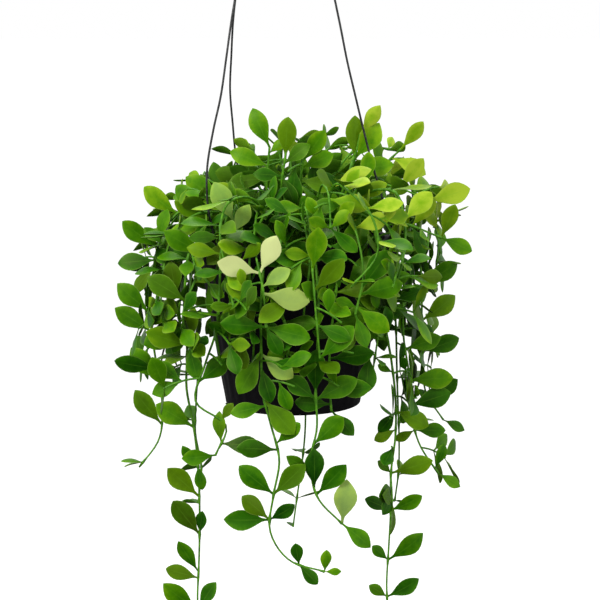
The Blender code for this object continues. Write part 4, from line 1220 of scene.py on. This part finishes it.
draw = random.Random(SEED)
chips_bm = bmesh.new()
for _ in range(CHIP_COUNT):
    size = draw.uniform(*CHIP_SIZE)
    spot = spot_on_soil(draw, CHIP_FROM_WALL, CHIP_LIFT)
    turn = Matrix.Rotation(draw.uniform(0, math.tau), 4, "Z")
    turn = turn @ Matrix.Rotation(draw.uniform(-0.5, 0.5), 4, "X")
    shape = Matrix.Diagonal((size, size * draw.uniform(0.4, 0.8), size * draw.uniform(0.2, 0.4), 1.0))
    made = bmesh.ops.create_icosphere(chips_bm, subdivisions=1, radius=0.5,
                                      matrix=Matrix.Translation(spot) @ turn @ shape)
    for vert in made["verts"]:
        vert.co += Vector([draw.uniform(-0.1, 0.1) * size for _ in range(3)])
finish_piece("bark_chips", chips_bm, [earth])

fibres_bm = bmesh.new()
for k in range(FIBRE_COUNT):
    line = [spot_on_soil(draw, FIBRE_FROM_WALL, FIBRE_LIFT)]
    heading = draw.uniform(0, math.tau)
    bend = draw.uniform(-0.9, 0.9)
    for step in range(FIBRE_JOINTS):
        angle = heading + bend * step / 3
        rise = 0.0006 * math.sin(step * 1.3 + k)
        line.append(line[-1] + Vector((math.cos(angle) * FIBRE_PIECE, math.sin(angle) * FIBRE_PIECE, rise)))
    add_bmesh(fibres_bm, tube(line, FIBRE_RADIUS, 3))
finish_piece("coir_fibres", fibres_bm, [earth])

# Leaves: fleshy, oval and widest past the middle, on short stalks in opposite pairs, with a soft waxy sheen,
# a faint groove along the middle and a thin painted highlight along the margin. The young ones are cream.
# Painted light and shade: the ones near the light are painted lighter and yellower, those near the pot's axis
# and low down darker, and each leaf darker at its base and lighter towards its tip and edges.
BLADE_CELLS = (12, 4)
# A blade's cells are closer together towards both ends. This share of their spacing is even.
EVEN_SPACING = 0.45
PETIOLE = 0.10
PETIOLE_WIDTH = 0.12
WIDEST_AT = 1.38
GROOVE = 0.00022
GROOVE_ALONG = (0.08, 0.9)
CURL_FROM = 0.55
WAVES = 6.0
# How much the leaves differ: how pointed and how wide they are, how far their edges lift and wave, and how
# their tips curl.
BLADE_STYLES = {"point": (0.72, 0.92), "width": (0.84, 1.0), "lift": (-0.10, 0.256), "wave": (-0.07, 0.07),
                "curl": (-0.5, 0.35)}
# How cream a chosen leaf is, by its stem and its place in that stem's list.
PALE_LEAVES = {("spray_front_pale", 0): 0.92, ("spray_front_pale", 1): 0.88, ("spray_front_pale", 2): 0.30,
               ("spray_front_pale", 6): 0.20, ("trail_centre", 0): 0.20, ("trail_centre_right", 7): 0.25,
               ("spray_left_front", 0): 0.16, ("spray_left_front", 1): 0.16}
# Shades run from 0 for dark to 1 for yellow green, and part of each is painted light and shade. Leaves near
# the pot's axis are painted darker, as if shaded by the foliage, and those far out from the pot and near the
# top are painted lighter, as if lit; each pair of numbers is where that starts and over how far it grows.
# Small leaves are lighter too, those in the light at the upper right are painted lighter, and the low ones are
# painted darker, as if in shade.
SHADE = 0.17
SHADE_DIFFERS = (-0.20, 0.20)
OUT_FROM_POT = (0.05, 0.07)
NEAR_THE_TOP = (-0.42, 0.09)
LIGHTER_THERE = 0.30
LIT_CORNER_FROM = (0.052, -0.392)
LIGHTER_IN_LIGHT = 0.20
SMALL_LEAF = 0.019
LIGHTER_IF_SMALL = 0.12
LOW_LEAF = -0.47
DARKER_IF_LOW = 0.05
OLIVE_DIFFERS = (-0.9, 0.6)
LEAF_GREENS = ((0.05, (0.003, 0.040, 0.001)), (0.35, (0.019, 0.112, 0.001)), (0.60, (0.062, 0.205, 0.001)),
               (0.82, (0.165, 0.330, 0.004)), (1.0, (0.310, 0.450, 0.025)))
OLIVE = (0.130, 0.190, 0.004)
# The colour of a painted highlight along each leaf's edge, as if light caught its rim.
RIM_HIGHLIGHT_GREEN = (0.250, 0.400, 0.070)
MIDRIB = (0.120, 0.290, 0.018)
UNDERSIDE = (0.085, 0.220, 0.018)
CREAM = (0.600, 0.670, 0.300)
# The stem's thickness at its root, how much thinner its tip is, and the swelling at each leaf.
STEM_FAT = 0.00115
STEM_TAPER = 0.00045
STEM_JOINT = 0.00025
FINE_STEM_STEP = 0.005
FINE_SHOOT_STEP = 0.004
STEM_GREENS = ((0.30, (0.030, 0.130, 0.004)), (0.70, (0.110, 0.330, 0.012)))

leaf_skin, leaf_tree, leaf_shader = new_material("leaf_skin", 0.42)
leaf_shader.inputs["Specular IOR Level"].default_value = 0.20
leaf_shader.inputs["Specular Tint"].default_value = (0.75, 1.0, 0.30, 1.0)
tones_and_painted_shade = add_node(leaf_tree, "ShaderNodeAttribute", {"attribute_name": "tones_and_painted_shade"})
olive = tones_and_painted_shade.outputs["Alpha"]
tones_and_painted_shade = add_node(leaf_tree, "ShaderNodeSeparateColor", Color=tones_and_painted_shade.outputs["Color"])
place_on = add_node(leaf_tree, "ShaderNodeUVMap", {"uv_map": "blade"})
place_on = add_node(leaf_tree, "ShaderNodeSeparateXYZ", Vector=place_on.outputs["UV"])
mottle = specks(leaf_tree, 190.0, 4.0, 0.6)
cloud = specks(leaf_tree, 42.0)
across = maths(leaf_tree, "ABSOLUTE", maths(leaf_tree, "SUBTRACT", place_on.outputs["Y"], 0.5))
tone = tones_and_painted_shade.outputs["Red"]
# Besides the noise, the tone carries painted light and shade: darker at each leaf's base, lighter at its tip,
# and lighter towards its edges, as if lit there.
for change in (span(leaf_tree, mottle, 0.3, 0.7, -0.07, 0.07), span(leaf_tree, cloud, 0.3, 0.7, -0.08, 0.08),
               span(leaf_tree, place_on.outputs["X"], 0.05, 0.95, -0.10, 0.06),
               span(leaf_tree, across, 0.12, 0.46, -0.03, 0.10)):
    tone = maths(leaf_tree, "ADD", tone, change)
# A thin painted highlight along each leaf's edge.
painted_rim_highlight = span(leaf_tree, across, 0.445, 0.50, 0.0, 0.42)
midrib = maths(leaf_tree, "MULTIPLY", span(leaf_tree, across, 0.030, 0.008, 0.0, 0.28),
               span(leaf_tree, place_on.outputs["X"], 0.95, 0.45))
skin = colour_run(leaf_tree, tone, LEAF_GREENS)
for share, colour in ((maths(leaf_tree, "MULTIPLY", olive, 0.7), OLIVE), (painted_rim_highlight, RIM_HIGHLIGHT_GREEN), (midrib, MIDRIB),
                      (maths(leaf_tree, "MULTIPLY", tones_and_painted_shade.outputs["Blue"], 0.45), UNDERSIDE),
                      (tones_and_painted_shade.outputs["Green"], CREAM)):
    skin = blend_colours(leaf_tree, share, skin, colour)
leaf_tree.links.new(skin, leaf_shader.inputs["Base Color"])
leaf_tree.links.new(span(leaf_tree, mottle, 0.3, 0.7, 0.36, 0.50), leaf_shader.inputs["Roughness"])
pores = maths(leaf_tree, "MULTIPLY", specks(leaf_tree, 1500.0), 0.25)
roughen(leaf_tree, leaf_shader, 0.25, 0.0004, maths(leaf_tree, "ADD", pores, mottle))

stem_skin, stem_tree, stem_shader = new_material("stem_skin", 0.5)
stem_shader.inputs["Specular IOR Level"].default_value = 0.2
bark = specks(stem_tree, 260.0, 5.0)
stem_tree.links.new(colour_run(stem_tree, bark, STEM_GREENS), stem_shader.inputs["Base Color"])
roughen(stem_tree, stem_shader, 0.4, 0.0003, bark)


def blade_template():
    """A closed leaf on a square, as a mesh: x runs from root to tip, y across and z is the side's sign."""
    bm = bmesh.new()
    bmesh.ops.create_grid(bm, x_segments=BLADE_CELLS[0], y_segments=BLADE_CELLS[1], size=1.0)
    side = bm.faces.layers.int.new("under")
    under = bmesh.ops.duplicate(bm, geom=bm.faces[:])
    low_faces = [item for item in under["geom"] if isinstance(item, bmesh.types.BMFace)]
    bmesh.ops.reverse_faces(bm, faces=low_faces)
    for face in low_faces:
        face[side] = 1
    for vert in bm.verts:
        at_edge = max(abs(vert.co.x), abs(vert.co.y)) > 0.999
        vert.co.z = 0.0 if at_edge else (-1.0 if vert.link_faces[0][side] else 1.0)
    bmesh.ops.remove_doubles(bm, verts=bm.verts, dist=0.001)
    uv = bm.loops.layers.uv.new("blade")
    for face in bm.faces:
        for loop in face.loops:
            loop[uv].uv = ((loop.vert.co.x + 1) / 2, (loop.vert.co.y + 1) / 2)
    mesh = bpy.data.meshes.new("blade_template")
    bm.to_mesh(mesh)
    bm.free()
    return mesh


def half_width(reach, point):
    """How much of its half width a leaf has at a share of its length, past its short stalk."""
    if reach <= PETIOLE:
        return PETIOLE_WIDTH
    share = (reach - PETIOLE) / (1.0 - PETIOLE)
    return max(PETIOLE_WIDTH * (1.0 - share), math.sin(math.pi * min(1.0, share)**WIDEST_AT)**point)


def shape_blade(vert, leaf, style):
    """Where a point of the template lies on a real leaf."""
    even = (vert.x + 1) / 2
    reach = EVEN_SPACING * even + (1 - EVEN_SPACING) * (1.0 - math.cos(math.pi * even)) / 2
    length = leaf["length"]
    wide = half_width(reach, style["point"])
    half = wide * length * style["width"] * LEAF_WIDTH / 2
    along = leaf["along"]
    face = leaf["face"]
    side = along.cross(face)
    plump = math.sqrt(max(0.0, 1.0 - abs(vert.y)**2)) * min(1.0, 0.35 + wide)
    height = vert.z * LEAF_THICK / 2 * plump
    if vert.z > 0 and abs(vert.y) < 0.1 and GROOVE_ALONG[0] < reach < GROOVE_ALONG[1]:
        height -= GROOVE
    wave = style["wave"] * half * math.sin(WAVES * reach) * vert.y
    height += style["lift"] * half * (abs(vert.y)**2) + wave
    height -= leaf["droop"] * length * reach**2
    height += style["curl"] * length * max(0.0, reach - CURL_FROM)**2
    start = leaf["base"] - along * ROOT_SUNK
    return start + along * (reach * (length + ROOT_SUNK)) + side * (vert.y * half) + face * height


pale_roots = []
for (name, place_in_list), share in PALE_LEAVES.items():
    pale_roots.append((grown[name]["wanted"][place_in_list][0]["base"], share))


def share_past(value, start, over):
    """How far a value has come on its way from a start over a range, from 0 to 1."""
    return min(1.0, max(0.0, (value - start) / over))


def leaf_tones_and_painted_shade(leaf, draw):
    """A leaf's shade, with painted light and shade by where it hangs, how cream it is and how olive."""
    tip = leaf["base"] + leaf["along"] * leaf["length"]
    away = math.hypot(tip.x - POT_X, tip.y)
    # Painted light and shade: leaves near the pot's axis are darker, far-out and upper ones lighter.
    shade = SHADE + LIGHTER_THERE * share_past(away, *OUT_FROM_POT) + draw.uniform(*SHADE_DIFFERS)
    shade += LIGHTER_THERE * share_past(tip.z, *NEAR_THE_TOP)
    # Painted light: leaves at the lit upper right are lighter.
    if tip.x > LIT_CORNER_FROM[0] and tip.z > LIT_CORNER_FROM[1]:
        shade += LIGHTER_IN_LIGHT
    if leaf["length"] < SMALL_LEAF:
        shade += LIGHTER_IF_SMALL
    # Painted shade: low leaves are darker.
    if tip.z < LOW_LEAF:
        shade -= DARKER_IF_LOW
    pale = sum(share for root, share in pale_roots if leaf["base"] is root)
    if pale:
        shade = 0.6 + 0.4 * pale
    return min(1.0, max(0.05, shade)), pale, max(0.0, draw.uniform(*OLIVE_DIFFERS))


def fine_blade(leaf, template, tones_and_painted_shade, draw):
    """One leaf as a bmesh, with its own small differences in shape and its shade on every corner."""
    style = {part: draw.uniform(*limits) for part, limits in BLADE_STYLES.items()}
    shade, pale, olive_share = tones_and_painted_shade
    bm = bmesh.new()
    bm.from_mesh(template)
    colour = bm.loops.layers.float_color.new("tones_and_painted_shade")
    under = bm.faces.layers.int["under"]
    for vert in bm.verts:
        vert.co = shape_blade(vert.co.copy(), leaf, style)
    for face in bm.faces:
        for loop in face.loops:
            loop[colour] = (shade, pale, float(face[under]), olive_share)
    return bm


def stem_tube(line, radii, roundness):
    """A round tube in the stem's material, which is material 1 of a leafy stem."""
    bm = round_tube(line, radii, roundness)
    for face in bm.faces:
        face.material_index = 1
    return bm


def leafy_stem(stem, template, draw):
    """One stem with its leaves and its side shoots as a bmesh, with the leaves' material as 0."""
    line = smooth_route(stem["route"], FINE_STEM_STEP)
    count = len(line)
    radii = [STEM_FAT - STEM_TAPER * (k / count) for k in range(count)]
    nearest = []
    for leaf in stem["leaves"]:
        nearest.append(min(range(count), key=lambda k: (line[k] - leaf["base"]).length_squared))
        radii[nearest[-1]] += STEM_JOINT
    bm = stem_tube(line, radii, 2)
    for leaf, place_on_line in zip(stem["leaves"], nearest):
        tones_and_painted_shade = leaf_tones_and_painted_shade(leaf, draw)
        add_bmesh(bm, fine_blade(dict(leaf, base=line[place_on_line]), template, tones_and_painted_shade, draw))
    for shoot in stem["shoots"]:
        twig_line = smooth_route(shoot["line"], FINE_SHOOT_STEP)
        add_bmesh(bm, stem_tube(twig_line, [SHOOT_RADIUS] * len(twig_line), 1))
        for leaf in shoot["leaves"]:
            add_bmesh(bm, fine_blade(leaf, template, leaf_tones_and_painted_shade(leaf, draw), draw))
    return bm


template = blade_template()
draw = random.Random(SEED)
for name, stem in grown.items():
    finish_piece(f"{name}_foliage", leafy_stem(stem, template, draw), [leaf_skin, stem_skin], name)
